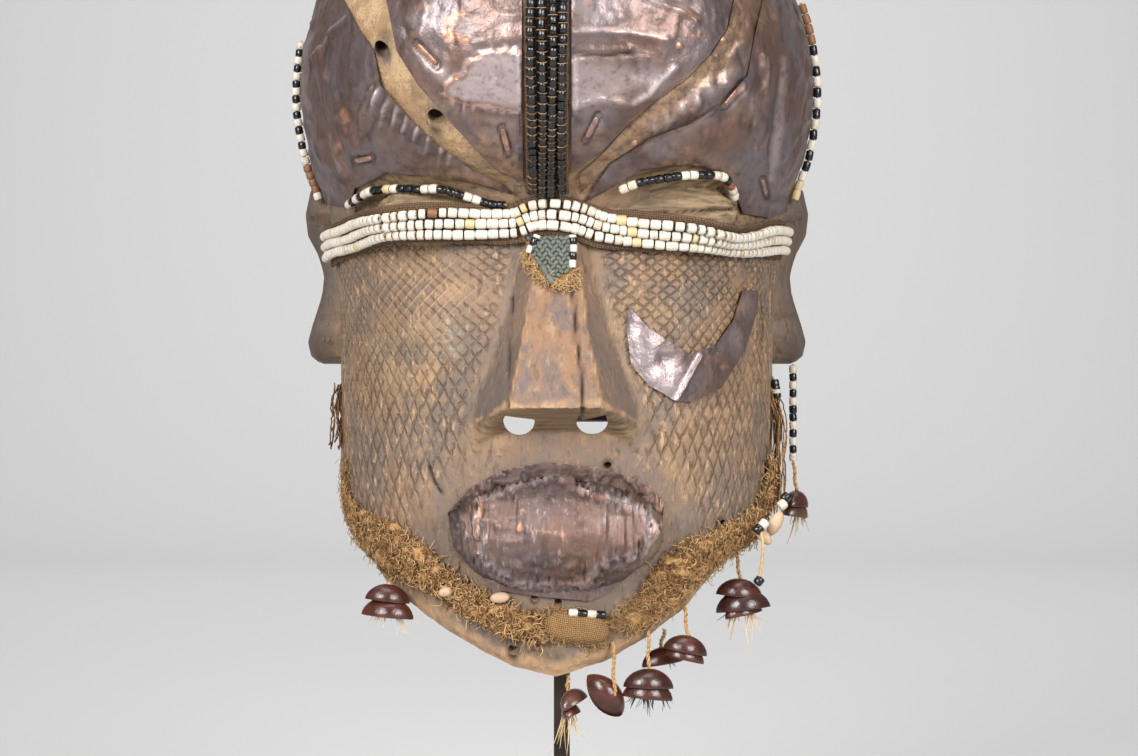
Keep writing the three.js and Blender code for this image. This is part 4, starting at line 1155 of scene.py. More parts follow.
@dataclass
class Helmet:
    """The carved block: a hollow helmet with nose, eyes, mouth, ears, nostrils and peg holes."""

    half_columns: int = 140
    back_columns: int = 46
    crown_rows: int = 34
    inner_rows: int = 20
    rim_shares: tuple[float, ...] = (0.75, 0.45, 0.15)
    lattice: Lattice = field(default_factory=Lattice)
    peg_holes: tuple[tuple[float, ...], ...] = (
        (-79.8, 290.2, 3.9), (-55.2, 259.9, 3.8), (24, 98, 2.2), (37, 90, 2.0), (78, 70, 2.0),
        (1, 35, 2.0), (-10, 38, 1.6), (-20, 13, 2.4))
    peg_slant: float = 0.62
    seam: tuple[Point, ...] = ((14, 236), (40, 252), (62, 266), (82, 283), (91, 300), (93, 330), (90, 400))
    nostrils: tuple[tuple[float, ...], ...] = (
        (-17.2, 120.6, 7.5, 7.2, 2.0, 0.4), (16.9, 119.6, 7.3, 5.8, 0.6, 3.4))
    ear_outline: tuple[Point, ...] = (
        (97, 36.8), (99.5, 37.8), (100.5, 39.6), (99, 41.6), (95.2, 45.6), (94.5, 48),
        (96.8, 50.5), (101, 53), (101.8, 55.6), (99.5, 58.4), (94.5, 60.3))
    ear_middle: Point = (5.0, 195.0)
    ear_outer: Point = (25.0, 48.0)
    ear_inner: Point = (13.0, 31.0)
    ear_opening: float = 0.22
    cracks: tuple[tuple[tuple[Point, ...], float], ...] = (
        (((-21, 178), (-22, 150), (-21.5, 132), (-22, 127)), 0.5),
        (((8, 180), (10, 160), (12, 140), (12.8, 127), (11, 119)), 0.75),
        (((-95, 215.5), (-74, 217.5), (-49, 218.6), (-24, 217.6)), 0.8),
        (((25, 217.5), (42, 216.5), (63, 218), (84, 219.5)), 0.8),
        (((-60, 99), (-58, 92), (-54, 86)), 0.6),
        (((100, 176), (101, 164), (100.5, 158)), 0.6))
    verdigris: tuple[Spot, ...] = (
        Spot(-49, 161, 8, 7, 0.9), Spot(-52, 151, 6, 6, 0.7), Spot(-86, 155, 5, 9, 0.6),
        Spot(-66, 158, 18, 10, 0.3))

    def rows(self) -> Array:
        """Gives the levels of the outer rows, finest over the face."""
        step = 1.2
        face = np.concatenate([
            np.arange(0, 108, step), np.arange(108, 130, step * 0.67), np.arange(130, 240, step)])
        rounds = self.crown_rows
        turns = np.linspace(math.asin(240 / FORM.height), 0.5 * math.pi, rounds + 1)[:-1]
        return np.concatenate([face, FORM.height * np.sin(turns)])

    def ring(self, h: Array, grown: float, fronts: Array, backs: Array) -> Array:
        """Gives rows of places all round, at levels given for each row and column."""
        split = len(fronts)
        front = FORM.at_front(np.broadcast_to(fronts, h[:, :split].shape), h[:, :split], grown)
        back = FORM.at_back(np.broadcast_to(backs, h[:, split:].shape), h[:, split:], grown)
        return np.concatenate([front, back], axis=1)

    def rim_levels(self, grown: float, fronts: Array, backs: Array) -> Array:
        """Finds the level at which each column meets the sawn rim."""
        levels = np.arange(0, 160, 0.25)[:, None] + np.zeros(len(fronts) + len(backs))
        places = self.ring(levels, grown, fronts, backs)
        above = levels >= FORM.rim(places[..., 0], places[..., 1])
        return levels[np.argmax(above, axis=0), 0]

    def wear(self, places: Array, turns: Array, above_rim: Array) -> tuple[Array, dict[str, Array]]:
        """Works out the fine relief and where the wood is scored, rubbed pale, bare, painted with shade or
        painted with highlights.

        Args:
            places: the outer grid of places.
            turns: each column's turn over the front, or beyond 1 at the back.
            above_rim: each place's height over the rim.

        Returns:
            The depth to carve at each place, and the named attributes.
        """
        skin = Wear(places, turns, above_rim)
        scored = skin.scored()
        raised = skin.spot(-62, 180, 30, 18) * scored
        strong = (scored * (1 - 0.3 * skin.spot(-62, 175, 34, 28)), scored * (1 - raised))
        offsets = [np.abs(line - np.round(line)) for line in self.lattice.coordinates(turns, skin.h)]
        crack, dark = skin.cracks(self.cracks, self.peg_holes)
        bare = skin.bare(self.seam)
        return skin.relief(strong, offsets, raised, crack), {
            "scored": scored, "falling": strong[0], "rising": strong[1], "raised": raised,
            "wear_and_highlight": skin.wear_and_highlight(), "dusk": skin.dusk() * (1 - bare), "bare": bare, "crack": dark,
            "nose": skin.nose(), "lid": skin.lids() * (1 - bare), "flank": skin.streaked_sides(),
            "verdigris": add_all(self.verdigris, skin.x, skin.h)}

    def ear(self, side: int) -> Object:
        """Makes one ear: a C in side view, open to the front, with a rounded outer face."""
        levels, outs = np.array([(h, x) for x, h in self.ear_outline]).T
        levels, outs = levels * FORM.height / 100, outs * FORM.half_width / 100
        start = math.pi * (1 - self.ear_opening)
        angles = np.linspace(-start, start, 49)
        section = [(0.0, -1.0), (1.0, -1.0), (1.0, 0.55), (0.93, 0.82), (0.78, 0.96), (0.5, 1.0),
                   (0.22, 0.96), (0.07, 0.82), (0.0, 0.55)]
        rings = []
        for angle in angles:
            closing = math.sqrt(max(0.0, 1 - (abs(angle) / start) ** 10))
            ring = []
            for across, out in section:
                share = 0.5 + (across - 0.5) * (0.35 + 0.65 * closing)
                half_y = self.ear_inner[0] + (self.ear_outer[0] - self.ear_inner[0]) * share
                half_h = self.ear_inner[1] + (self.ear_outer[1] - self.ear_inner[1]) * share
                y = self.ear_middle[0] + half_y * math.cos(angle)
                h = self.ear_middle[1] + half_h * math.sin(angle)
                outer = float(np.interp(h, levels, outs)) - 4.5 * (abs(angle) / start) ** 4
                base = outer - 22.0
                depth = base if out < 0 else outer - (1 - out) * 8.0 * (0.4 + 0.6 * closing)
                ring.append((side * depth, y, h))
            rings.append(ring)
        grid = np.array(rings)
        if side > 0:
            grid = grid[:, ::-1]
        ear = tube("ear", grid)
        # the whole ear is painted with shade, and blackened a little as the cracks are
        set_even(ear, dusk=0.9, crack=0.4)
        return ear

    def bore(self, x: float, h: float, radius: float) -> Object:
        """Makes the tool for a peg hole that rises inwards from its mouth."""
        mouth = lifted(np.array([x, float(FORM.bare(x, h)), h]))
        bpy.ops.mesh.primitive_cylinder_add(
            vertices=24, radius=radius * MM, depth=3.4 * FORM.wall * MM, location=mouth,
            rotation=(math.pi / 2 + self.peg_slant, 0, 0))
        # the hole's walls are painted black as shade
        set_even(bpy.context.object, crack=0.9)
        return bpy.context.object

    def inner_face(self, rim: Array, fronts: Array, backs: Array) -> Array:
        """Gives rows of places on the inner face, from its rim up to near its crown."""
        crown = FORM.height - FORM.wall
        turns = np.linspace(0, 0.5 * math.pi, self.inner_rows + 1)[:-1]
        h = rim + crown * np.sin(turns)[:, None] * (crown - rim) / crown
        return self.ring(h, -FORM.wall, fronts, backs)

    def closed_shell(self, grid: Array) -> Object:
        """Closes the wall's grid, from inner crown over the rim to outer crown, into one solid."""
        rows, columns = grid.shape[:2]
        poles, top = rows * columns, (rows - 1) * columns
        faces = quads(rows, columns, closed=True)
        faces += [(j, poles, (j + 1) % columns) for j in range(columns)]
        faces += [(top + j, top + (j + 1) % columns, poles + 1) for j in range(columns)]
        crowns = [(0, 0, FORM.height - FORM.wall), (0, 0, FORM.height - 0.35)]
        return new_piece("wood_helmet_carved", np.vstack([grid.reshape(-1, 3), crowns]), faces)

    def drill(self, helmet: Object) -> None:
        """Cuts the nostrils and the peg holes."""
        for middle, level, half_width, depth, left, right in self.nostrils:
            arc = [(middle + half_width * math.cos(t), level - depth * math.sin(t))
                   for t in np.linspace(0, math.pi, 17)]
            top = [(middle - 0.85 * half_width, level + left), (middle + 0.85 * half_width, level + right)]
            cut(helmet, front_prism(arc + top, -200, 0), "DIFFERENCE")
        for x, level, radius in self.peg_holes:
            cut(helmet, self.bore(x, level, radius), "DIFFERENCE")

    def build(self, material: bpy.types.Material) -> Object:
        """Builds the helmet and dresses it."""
        half = self.half_columns
        fronts = np.linspace(-1, 1, 2 * half + 1)
        backs = np.linspace(0, 1, self.back_columns + 1)[1:-1]
        levels = self.rows()
        outer_rim, inner_rim = (self.rim_levels(grown, fronts, backs) for grown in (0.0, -FORM.wall))
        edge = self.ring(outer_rim[None, :], 0.0, fronts, backs)[0]
        outer_rim = outer_rim + 0.5 * Grain(11).rough(edge, 14, 2)
        h = outer_rim + levels[:, None] * (FORM.height - outer_rim) / FORM.height
        outer = self.ring(h, 0.0, fronts, backs)
        turns = np.broadcast_to(np.concatenate([fronts, 1.5 + backs]), h.shape)
        carved, attributes = self.wear(outer, turns, h - outer_rim)
        outer = outer - grid_normals(outer, closed=True) * carved[..., None]
        inner = self.inner_face(inner_rim, fronts, backs)
        rim = [outer[0] + (inner[0] - outer[0]) * share - np.array([0, 0, 0.5 * math.sin(math.pi * share)])
               for share in self.rim_shares]
        grid = np.concatenate([inner[::-1], np.array(rim), outer])
        helmet = self.closed_shell(grid)
        columns = grid.shape[1]
        inside_count = (len(grid) - len(levels)) * columns
        for name, values in attributes.items():
            rest = np.zeros(inside_count)
            if name == "wear_and_highlight":
                rest[-len(self.rim_shares) * columns:] = 0.8
            set_attribute(helmet, name, np.concatenate([rest, values.ravel(), [0, 0]]))
        lattice = np.zeros((len(helmet.data.vertices), 2))
        lattice[inside_count:-2] = np.stack(self.lattice.coordinates(turns, h), axis=-1).reshape(-1, 2)
        set_uv(helmet, "lattice", lattice)
        for side in (-1, 1):
            cut(helmet, self.ear(side), "UNION")
        self.drill(helmet)
        smooth_below(helmet, 50)
        return finished(helmet, material, Slot.WOOD, "wood_helmet")


# Copper sheets


@dataclass(frozen=True)
class Plateau:
    """A raised area with a rubbed edge that may be crumpled, its middle and its crumples lit by painted
    highlights.
    """

    outline: tuple[Point, ...]
    rise: float
    crumple: float = 0.0
    reach: float = 3.0
    # how strongly its middle carries a painted highlight
    shine: float = 0.5

    def within(self, x: Array, h: Array) -> Array:
        """Gives each place's distance inside the outline, negative outside."""
        away = distance_to_line(x, h, self.outline, closed=True)
        return np.where(inside(x, h, self.outline), away, -away)

    def height(self, x: Array, h: Array, wrinkles: Array) -> Array:
        """Gives the relief at each place."""
        depth = self.within(x, h)
        near = np.exp(-((depth + 0.3 * self.reach) / self.reach) ** 2)
        return self.rise * ease(depth, -0.9, 1.0) + self.crumple * wrinkles * near


@dataclass
class Relief:
    """What is beaten into a sheet, and where its patina is tan or rubbed orange, burnished and painted with
    highlights, or sooted and painted with shade.
    """

    features: tuple[Spot | Crease, ...] = ()
    # burnishing, and painted highlights along ridges and bumps
    burnish: tuple[Spot | Crease, ...] = ()
    glow: tuple[Spot | Crease, ...] = ()
    tan: tuple[Spot | Crease, ...] = ()
    # painted shade in grooves, cracks and slits, and the dark crust over the lip
    soot: tuple[Spot | Crease, ...] = ()
    plateaus: tuple[Plateau, ...] = ()
    dents: float = 0.6
    crumple: float = 0.36
    folds: tuple[float, float, float] = (4.4, 4.4, 4.4)
    crust: float = 0.0
    dull: float = 0.0


def spots(points: Sequence[Point], across: float, along: float, amount: float = 1.0,
          turn: float = 0.0) -> tuple[Spot, ...]:
    """Sets one soft patch at each point."""
    return tuple(Spot(x, h, across, along, amount, turn) for x, h in points)


PATCH: tuple[Point, ...] = (
    (-50.4, 269.6), (-49.6, 274.1), (-46.4, 277), (-41.7, 278.3), (-38.6, 284.3), (-30.4, 288.6),
    (-24, 288.9), (-18.5, 287.7), (-14.7, 289.1), (-14.8, 261.7), (-34.1, 265.6), (-41.9, 265.7))
LIP_FACE: tuple[Point, ...] = (
    (-33.4, 80.4), (-26, 84), (-16.7, 87.7), (-8, 91), (0.8, 91.7), (10.3, 87.7), (21.4, 82.9),
    (32.6, 80.4), (38.5, 76.5), (41.4, 71.6), (39.8, 63.6), (36, 60.6), (29.4, 58.2), (22, 56.5),
    (16.6, 52.7), (10.3, 46.4), (0.8, 48), (-8, 46.8), (-18.3, 48), (-26.3, 53.5), (-33.4, 58.9),
    (-35, 70.9))
LEAF: tuple[Point, ...] = (
    (-83.2, 277.4), (-87, 273), (-90.1, 268.9), (-93, 260.1), (-92.6, 255), (-90.6, 253.2),
    (-86.3, 256.5), (-83.6, 262.3), (-83.8, 268.4), (-83.2, 277.4))
PLEATS: tuple[Point, ...] = (
    (-81.7, 270.4), (-78.2, 264.2), (-73.8, 261), (-69, 257.7), (-63.5, 254.5), (-58, 251.3),
    (-51.8, 247.5), (-47.9, 245.2))
STAPLES: tuple[tuple[Point, Point], ...] = (
    ((-62.9, 293), (-53.4, 283)), ((-24.5, 255.3), (-21.6, 244.7)), ((19.1, 260.3), (13.7, 249.9)),
    ((-94.2, 243.2), (-85.5, 244.2)), ((85.3, 276.4), (77, 266.2)), ((96.9, 235.5), (99.7, 228.4)))
# In each relief the burnished marks are partly painted highlights along ridges and bumps, and the sooted
# marks are painted shade in grooves and cracks, besides the dark crust over the lip.
RELIEFS: dict[str, Relief] = {
    "copper_forehead_left": Relief(
        features=(
            Crease(((-44.7, 311), (-47, 299.6), (-46.3, 292)), 1.6, -1.0),
            Crease(((-65.1, 293.6), (-60.5, 282), (-52.7, 278.7), (-50.3, 275.6)), 2.4, 1.2),
            Crease(((-42, 260.6), (-32.1, 249.3), (-22.9, 236.8)), 2.0, 1.0),
            Crease(((-61, 318), (-58.5, 306), (-61, 296)), 2.6, 1.0),
            Crease(((-68, 300), (-60, 279), (-52, 266)), 2.0, -0.9),
            Crease(((-36, 262), (-26, 259), (-15, 258)), 1.6, -0.8),
            Crease(((-17.5, 289), (-16.4, 275), (-16.6, 258), (-17.5, 240)), 1.1, 0.9),
            *spots(((-38, 303), (-27, 297), (-31, 317), (-52, 322), (-20, 311)), 8, 7, -1.0)),
        burnish=(
            *spots(((-61, 303), (-58, 286), (-52, 280)), 4.5, 5.5, 0.6),
            *spots(((-30, 275), (-22, 270), (-24, 282)), 8, 7, 0.5),
            Crease(((-16.8, 288), (-16.0, 262)), 1.0, 0.8), Spot(-23, 300, 9, 6, 0.3),
            Spot(-25, 252, 8, 9, 0.25)),
        glow=(
            *spots(((-63.5, 297.3), (-49.4, 300.4), (-44.7, 305.7), (-47.8, 295.1), (-60.4, 308.7),
                    (-40.8, 292.6)), 5, 3.5, 0.55),
            Crease(PATCH + PATCH[:1], 0.9, 0.78), *spots(((-35, 251), (-24, 240)), 6, 6, 0.35),
            *spots(((-37, 315), (-24, 323), (-52, 330)), 7, 5, 0.4)),
        tan=(Spot(-33, 247, 9, 7, 0.6, -0.7), Spot(-22, 238, 8, 6, 0.7), Spot(-50, 264, 6, 5, 0.4)),
        plateaus=(Plateau(PATCH, 0.8, 0.4, 1.6, 0.7),)),
    "copper_forehead_right": Relief(
        features=(
            Crease(((10, 296.4), (20, 297.2), (32.7, 296.5), (49.7, 294)), 1.5, 0.9),
            Crease(((6.6, 287.9), (17.4, 286.2), (25, 286.4), (34.3, 287.9)), 0.9, -1.2),
            Crease(((7, 290), (17.4, 288.2), (34, 289.8)), 1.4, 0.7),
            Crease(((45, 310.4), (55.9, 307.8), (63.8, 302.8)), 1.5, 1.2),
            Crease(((9, 264), (20, 267.5), (33, 265), (42.1, 269.4), (46.7, 275.5), (53, 281)), 1.7, 1.1),
            Crease(((8.2, 283), (8.4, 270), (7.6, 258)), 1.4, 0.9),
            Crease(((7.8, 259.5), (10.5, 256.5)), 1.2, -1.0),
            Spot(29.7, 274.3, 3, 3.6, -1.1), Spot(55.7, 291.7, 4.5, 4.5, -0.6),
            *spots(((20, 292), (38, 279), (17, 277), (26, 305), (40, 316)), 9, 5, -0.8)),
        burnish=(
            *spots(((11, 280), (22, 279), (33, 277), (44, 277), (25, 270), (14, 269)), 6.5, 5.5, 0.5),
            Crease(((12, 297.6), (32.7, 297.7), (49, 295.4)), 1.1, 0.8),
            Crease(((35.2, 266.3), (42.1, 270.4), (46.7, 276.5), (54.3, 282.4)), 1.2, 0.8),
            Crease(((8.8, 284), (9, 262)), 1.0, 0.7), Spot(19, 258, 2.5, 5, 0.5, -0.4),
            *spots(((46, 311), (57, 309)), 5, 2.5, 0.5), Spot(20, 309, 14, 7, 0.25)),
        glow=(
            Crease(((18, 298.3), (32.7, 298.2), (50, 295.6)), 0.9, 0.6),
            Crease(((22, 285.4), (36.6, 286.9), (48.2, 286.4)), 1.1, 0.4),
            Crease(((56, 309), (64.5, 304)), 1.0, 0.7), Spot(66, 297, 6, 4, 0.5), Spot(14, 310, 3, 3, 0.5),
            Spot(47, 317, 8, 4, 0.5)),
        tan=(Spot(15, 250, 8, 5, 0.4),),
        soot=(Spot(30, 259, 9, 5, 0.35, 0.5), Spot(10, 258, 3, 2, 0.5),
              Crease(((6.6, 287.4), (17.4, 285.8), (34.3, 287.5)), 0.6, 0.9))),
    "copper_temple_left": Relief(
        features=(
            Crease(((-96.7, 307.9), (-103.7, 302.7), (-107.3, 296.9), (-115.2, 292.5)), 1.5, 1.3),
            Crease(((-98, 304.5), (-104.7, 299.2), (-109, 293.5)), 1.2, -1.0),
            Crease(((-115.2, 292.5), (-116.8, 284.8), (-114.5, 272.3), (-116.3, 262)), 1.6, -1.0),
            Crease(((-114.4, 285), (-111.5, 270), (-108, 254), (-104.8, 241), (-100, 231)), 1.6, -0.9),
            Crease(((-110, 272), (-105, 252), (-101, 238)), 1.3, 0.8),
            Crease(((-104, 262), (-100, 248), (-97, 237)), 1.3, -0.6),
            Crease(LEAF, 0.9, -0.8), Crease(((-84.5, 275), (-88, 268), (-91, 258)), 1.1, 0.9),
            Crease(((-82, 279), (-85.5, 272)), 0.8, 0.8),
            *spots(PLEATS, 1.6, 5.4, 2.6, -0.35),
            *spots(((-98, 285), (-100, 275), (-105, 262), (-92, 288)), 5, 5, -0.8),
            Crease(((-75, 252), (-60, 244), (-45, 237), (-28, 233)), 5, -0.9),
            Crease(((-80, 240), (-58, 240), (-36, 234)), 4, 0.7)),
        burnish=(
            *spots(PLEATS, 1.2, 4.8, 1.0, -0.35),
            *spots(((-44, 243), (-40, 240.5)), 4.5, 3.5, 0.35),
            Crease(((-97, 308.6), (-104, 303.5), (-108, 297.6), (-115.5, 293.4)), 0.8, 0.6),
            Crease(((-117, 305), (-120, 290), (-119, 270)), 1.8, 0.4),
            Crease(((-107, 255), (-103, 240)), 1.3, 0.4)),
        glow=(
            *spots(((-98.8, 265.2), (-106.4, 282.4), (-97.3, 259), (-102.3, 249.6)), 3, 5, 0.5),
            *spots(((-66, 250), (-89, 252)), 6, 3, 0.35), Spot(-104, 306, 4, 5, 0.35)),
        tan=(Crease(((-82, 233), (-54, 235.5), (-30, 232)), 4.0, 0.5), Spot(-88, 266, 3, 9, 0.4, -0.3),
             Crease(((-76, 290), (-84, 276)), 1.2, 0.5)),
        soot=(Crease(((-80, 262), (-70, 253), (-56, 246), (-44, 240)), 2.0, 0.4),
              Crease(((-97.5, 305.6), (-104.4, 300.4), (-108, 294)), 0.8, 0.6)),
        dents=0.9, crumple=0.85, folds=(3.4, 5.0, 9.0)),
    "copper_temple_right": Relief(
        features=(
            Crease(((34, 249), (44, 252), (54, 255.5), (66, 261), (76, 268)), 3.6, 1.4),
            Crease(((38, 247), (52, 251), (66, 257), (80, 263)), 3.0, -1.2),
            *spots(((79, 275), (84, 279), (87, 272)), 3.4, 4.2, 1.4),
            *spots(((75, 268), (93, 276)), 2.6, 5, -1.2),
            Crease(((93.1, 290), (94.3, 279), (90, 271)), 1.4, -1.3),
            Crease(((95.7, 290.2), (97.5, 279), (96.5, 266)), 1.4, 1.1),
            Crease(((104.5, 284), (101, 262.4), (99.6, 247.1), (101.5, 234)), 1.4, -1.1),
            Crease(((108.1, 281.2), (105.4, 255.3), (102.4, 232.2)), 1.4, 1.0),
            Crease(((112, 300), (110.4, 280), (108.5, 258), (107.5, 240)), 1.3, -1.0),
            Crease(((99, 304), (100, 290), (98.6, 276)), 1.3, -0.9),
            Crease(((84, 309), (92, 303), (99.5, 306)), 2.0, 0.9),
            Crease(((48.8, 242), (67.1, 244.5), (84, 240)), 3.0, 0.7)),
        burnish=(
            Crease(((42, 250), (54, 254.5), (68, 260.5)), 2.6, 0.5),
            *spots(((84.5, 275.5), (80, 268), (90, 268)), 3.0, 4.0, 0.5),
            Crease(((106, 290), (104, 262), (101, 236)), 1.5, 0.45),
            Crease(((96.8, 289), (97.8, 270)), 1.0, 0.4)),
        glow=(
            *spots(((47, 263), (72, 262), (88, 261), (60, 247), (94, 250), (108, 262)), 4, 3, 0.4),
            Spot(83, 274, 2.5, 6, 0.6, -0.7)),
        tan=(
            Crease(((38, 253), (52, 263), (66, 274), (76, 287), (82, 300)), 5.0, 0.8),
            Spot(76, 286, 8, 9, 0.7), Crease(((48.8, 239), (67.1, 241.5), (81.1, 238)), 3.5, 0.55),
            Spot(97, 309, 8, 7, 0.5)),
        soot=(
            Crease(((64.6, 310.7), (74.2, 308.3), (81.5, 304.3), (83.1, 298.9), (85.6, 291.4)), 0.9, 1.0),
            Spot(93, 279, 2.5, 5, 0.5), Crease(((104.2, 284), (100.8, 262), (99.4, 247)), 0.7, 0.6)),
        dents=0.8, crumple=0.8, folds=(3.4, 5.0, 9.0)),
    "copper_hairline_right": Relief(
        features=(
            Crease(((8, 235.5), (35.3, 257.5), (48.4, 269.6), (70.2, 290.9), (81, 304)), 0.9, -0.8),
            *spots(((44, 256.5), (50.5, 260), (57, 264), (63.5, 268), (70, 272.5), (77, 276.5)),
                   2.7, 3.3, 1.7),
            Crease(((80, 288), (86, 296), (89, 306)), 2.2, 1.0)),
        burnish=(
            *spots(((44, 257), (50.5, 260.8), (57, 265), (63.5, 269), (70, 273.5), (77.5, 278)),
                   2.6, 2.8, 0.85),
            Spot(80, 281.5, 3, 2, 0.9)),
        tan=(
            Crease(((8, 233), (25, 245), (42, 263), (60, 280), (76, 296), (84, 320), (84, 400)), 9.0, 1.0),
            Spot(72, 284, 8, 8, 0.7)),
        glow=(Spot(38, 252, 3, 3, 0.4), *spots(((62, 264), (81, 274)), 3, 2.5, 0.5)),
        soot=(Crease(((16, 241), (35.3, 257.3), (48.4, 269.4), (58, 278.5)), 0.6, 1.0),
              Crease(((66, 287), (76, 299.5)), 0.6, 0.9),
              Crease(((83.5, 270), (86, 283), (82, 291)), 0.8, 0.6)),
        dents=0.45, crumple=0.5),
    "copper_cheek_crescent": Relief(
        features=(
            Crease(((67.2, 150.5), (61.5, 140.4), (55.7, 129.7)), 0.9, 1.5), Spot(50.6, 149.2, 3, 3, -1.0),
            Spot(39, 163, 3, 4, -0.6), Crease(((74, 152), (80, 160), (86, 172)), 2.0, -0.6),
            *spots(((44, 157), (46, 139), (72, 141), (78, 150)), 4, 4, 0.6)),
        burnish=(
            *spots(((37.7, 160.5), (40.3, 152.5), (44.3, 140.5), (50.9, 135.4), (55, 143)), 5, 6, 0.6),
            Spot(50.6, 153, 3, 1.4, 0.6), Crease(((66.2, 151.5), (54.9, 130.7)), 1.0, 0.8),
            *spots(((90, 175.6), (84.5, 158.3)), 4, 7, 0.35)),
        glow=(*spots(((73.8, 149.2), (67.7, 137.2), (78.4, 144.9)), 4, 3, 0.4),
              Crease(((34, 168), (42, 159), (54, 153)), 0.7, 0.5)),
        soot=(Spot(60, 147, 4, 3, 0.3),), dents=0.5, crumple=0.2),
    "copper_lip_sheet": Relief(
        features=(
            Crease(((-42.4, 76), (-41, 64), (-37.6, 51.5)), 1.1, 1.0),
            Crease(((-39, 77), (-37, 62), (-31.2, 50.6)), 1.1, -0.9),
            Crease(((44.5, 80), (43.5, 62), (35, 46)), 1.3, -0.9),
            Crease(((49.7, 78.6), (45.6, 60.7), (33.5, 42.8)), 2.6, 0.9),
            *spots(((-26, 71.4), (-21.5, 71), (-17, 70.4), (-12.5, 69.8), (-8, 69.2), (-3.5, 68.6),
                    (1, 68.2)), 1.5, 1.8, 0.9),
            *spots(((-16, 78), (-2, 79), (9, 76), (22, 72), (14, 58), (30, 66)), 0.8, 7, 0.8)),
        burnish=(
            Crease(((-36, 73), (-33, 81.6), (-16.7, 88.9), (0.8, 92.9)), 1.3, 0.55),
            Crease(((20, 84.6), (32.6, 81.8), (41.6, 74), (42, 64)), 1.5, 0.7),
            Crease(((-33, 57), (-24, 50), (-12, 44), (4, 43), (14, 46)), 3.2, 0.55),
            Crease(LIP_FACE + LIP_FACE[:1], 1.5, 0.6), Crease(((43, 80), (44.5, 66), (38, 55)), 1.0, 0.6),
            Spot(24, 74, 14, 5, 0.15)),
        glow=(
            Crease(((-35.5, 60), (-36.2, 72), (-32, 80.5)), 0.8, 0.6),
            Crease(((3, 91), (12, 87.4), (22, 84)), 0.9, 0.6), Crease(LIP_FACE + LIP_FACE[:1], 0.8, 0.5),
            Crease(((-27, 71.6), (-12, 70), (4, 68.2)), 1.5, 0.45),
            Crease(((10, 79), (8.4, 71)), 0.7, 0.5), Crease(((-15, 78), (-16, 70)), 0.7, 0.5),
            Spot(-6, 80, 12, 4, 0.3), Spot(8, 50, 10, 3, 0.35), Spot(38, 50, 5, 5, 0.3)),
        tan=(Crease(((48.5, 74), (44, 58), (33, 42)), 4.0, 0.25),),
        soot=(
            Crease(((-47, 78), (-36, 90), (-20, 96), (2, 97), (22, 93), (40, 86)), 5.5, 0.5),
            Crease(((-46, 76), (-44, 62), (-38, 50)), 4.0, 0.4), Spot(-2, 55, 22, 5, 0.4)),
        plateaus=(Plateau(LIP_FACE, 1.5, 1.7, 4.2, 0.0),),
        dents=0.5, crumple=0.5, folds=(1.6, 5.0, 7.0), crust=3.2, dull=0.8)}


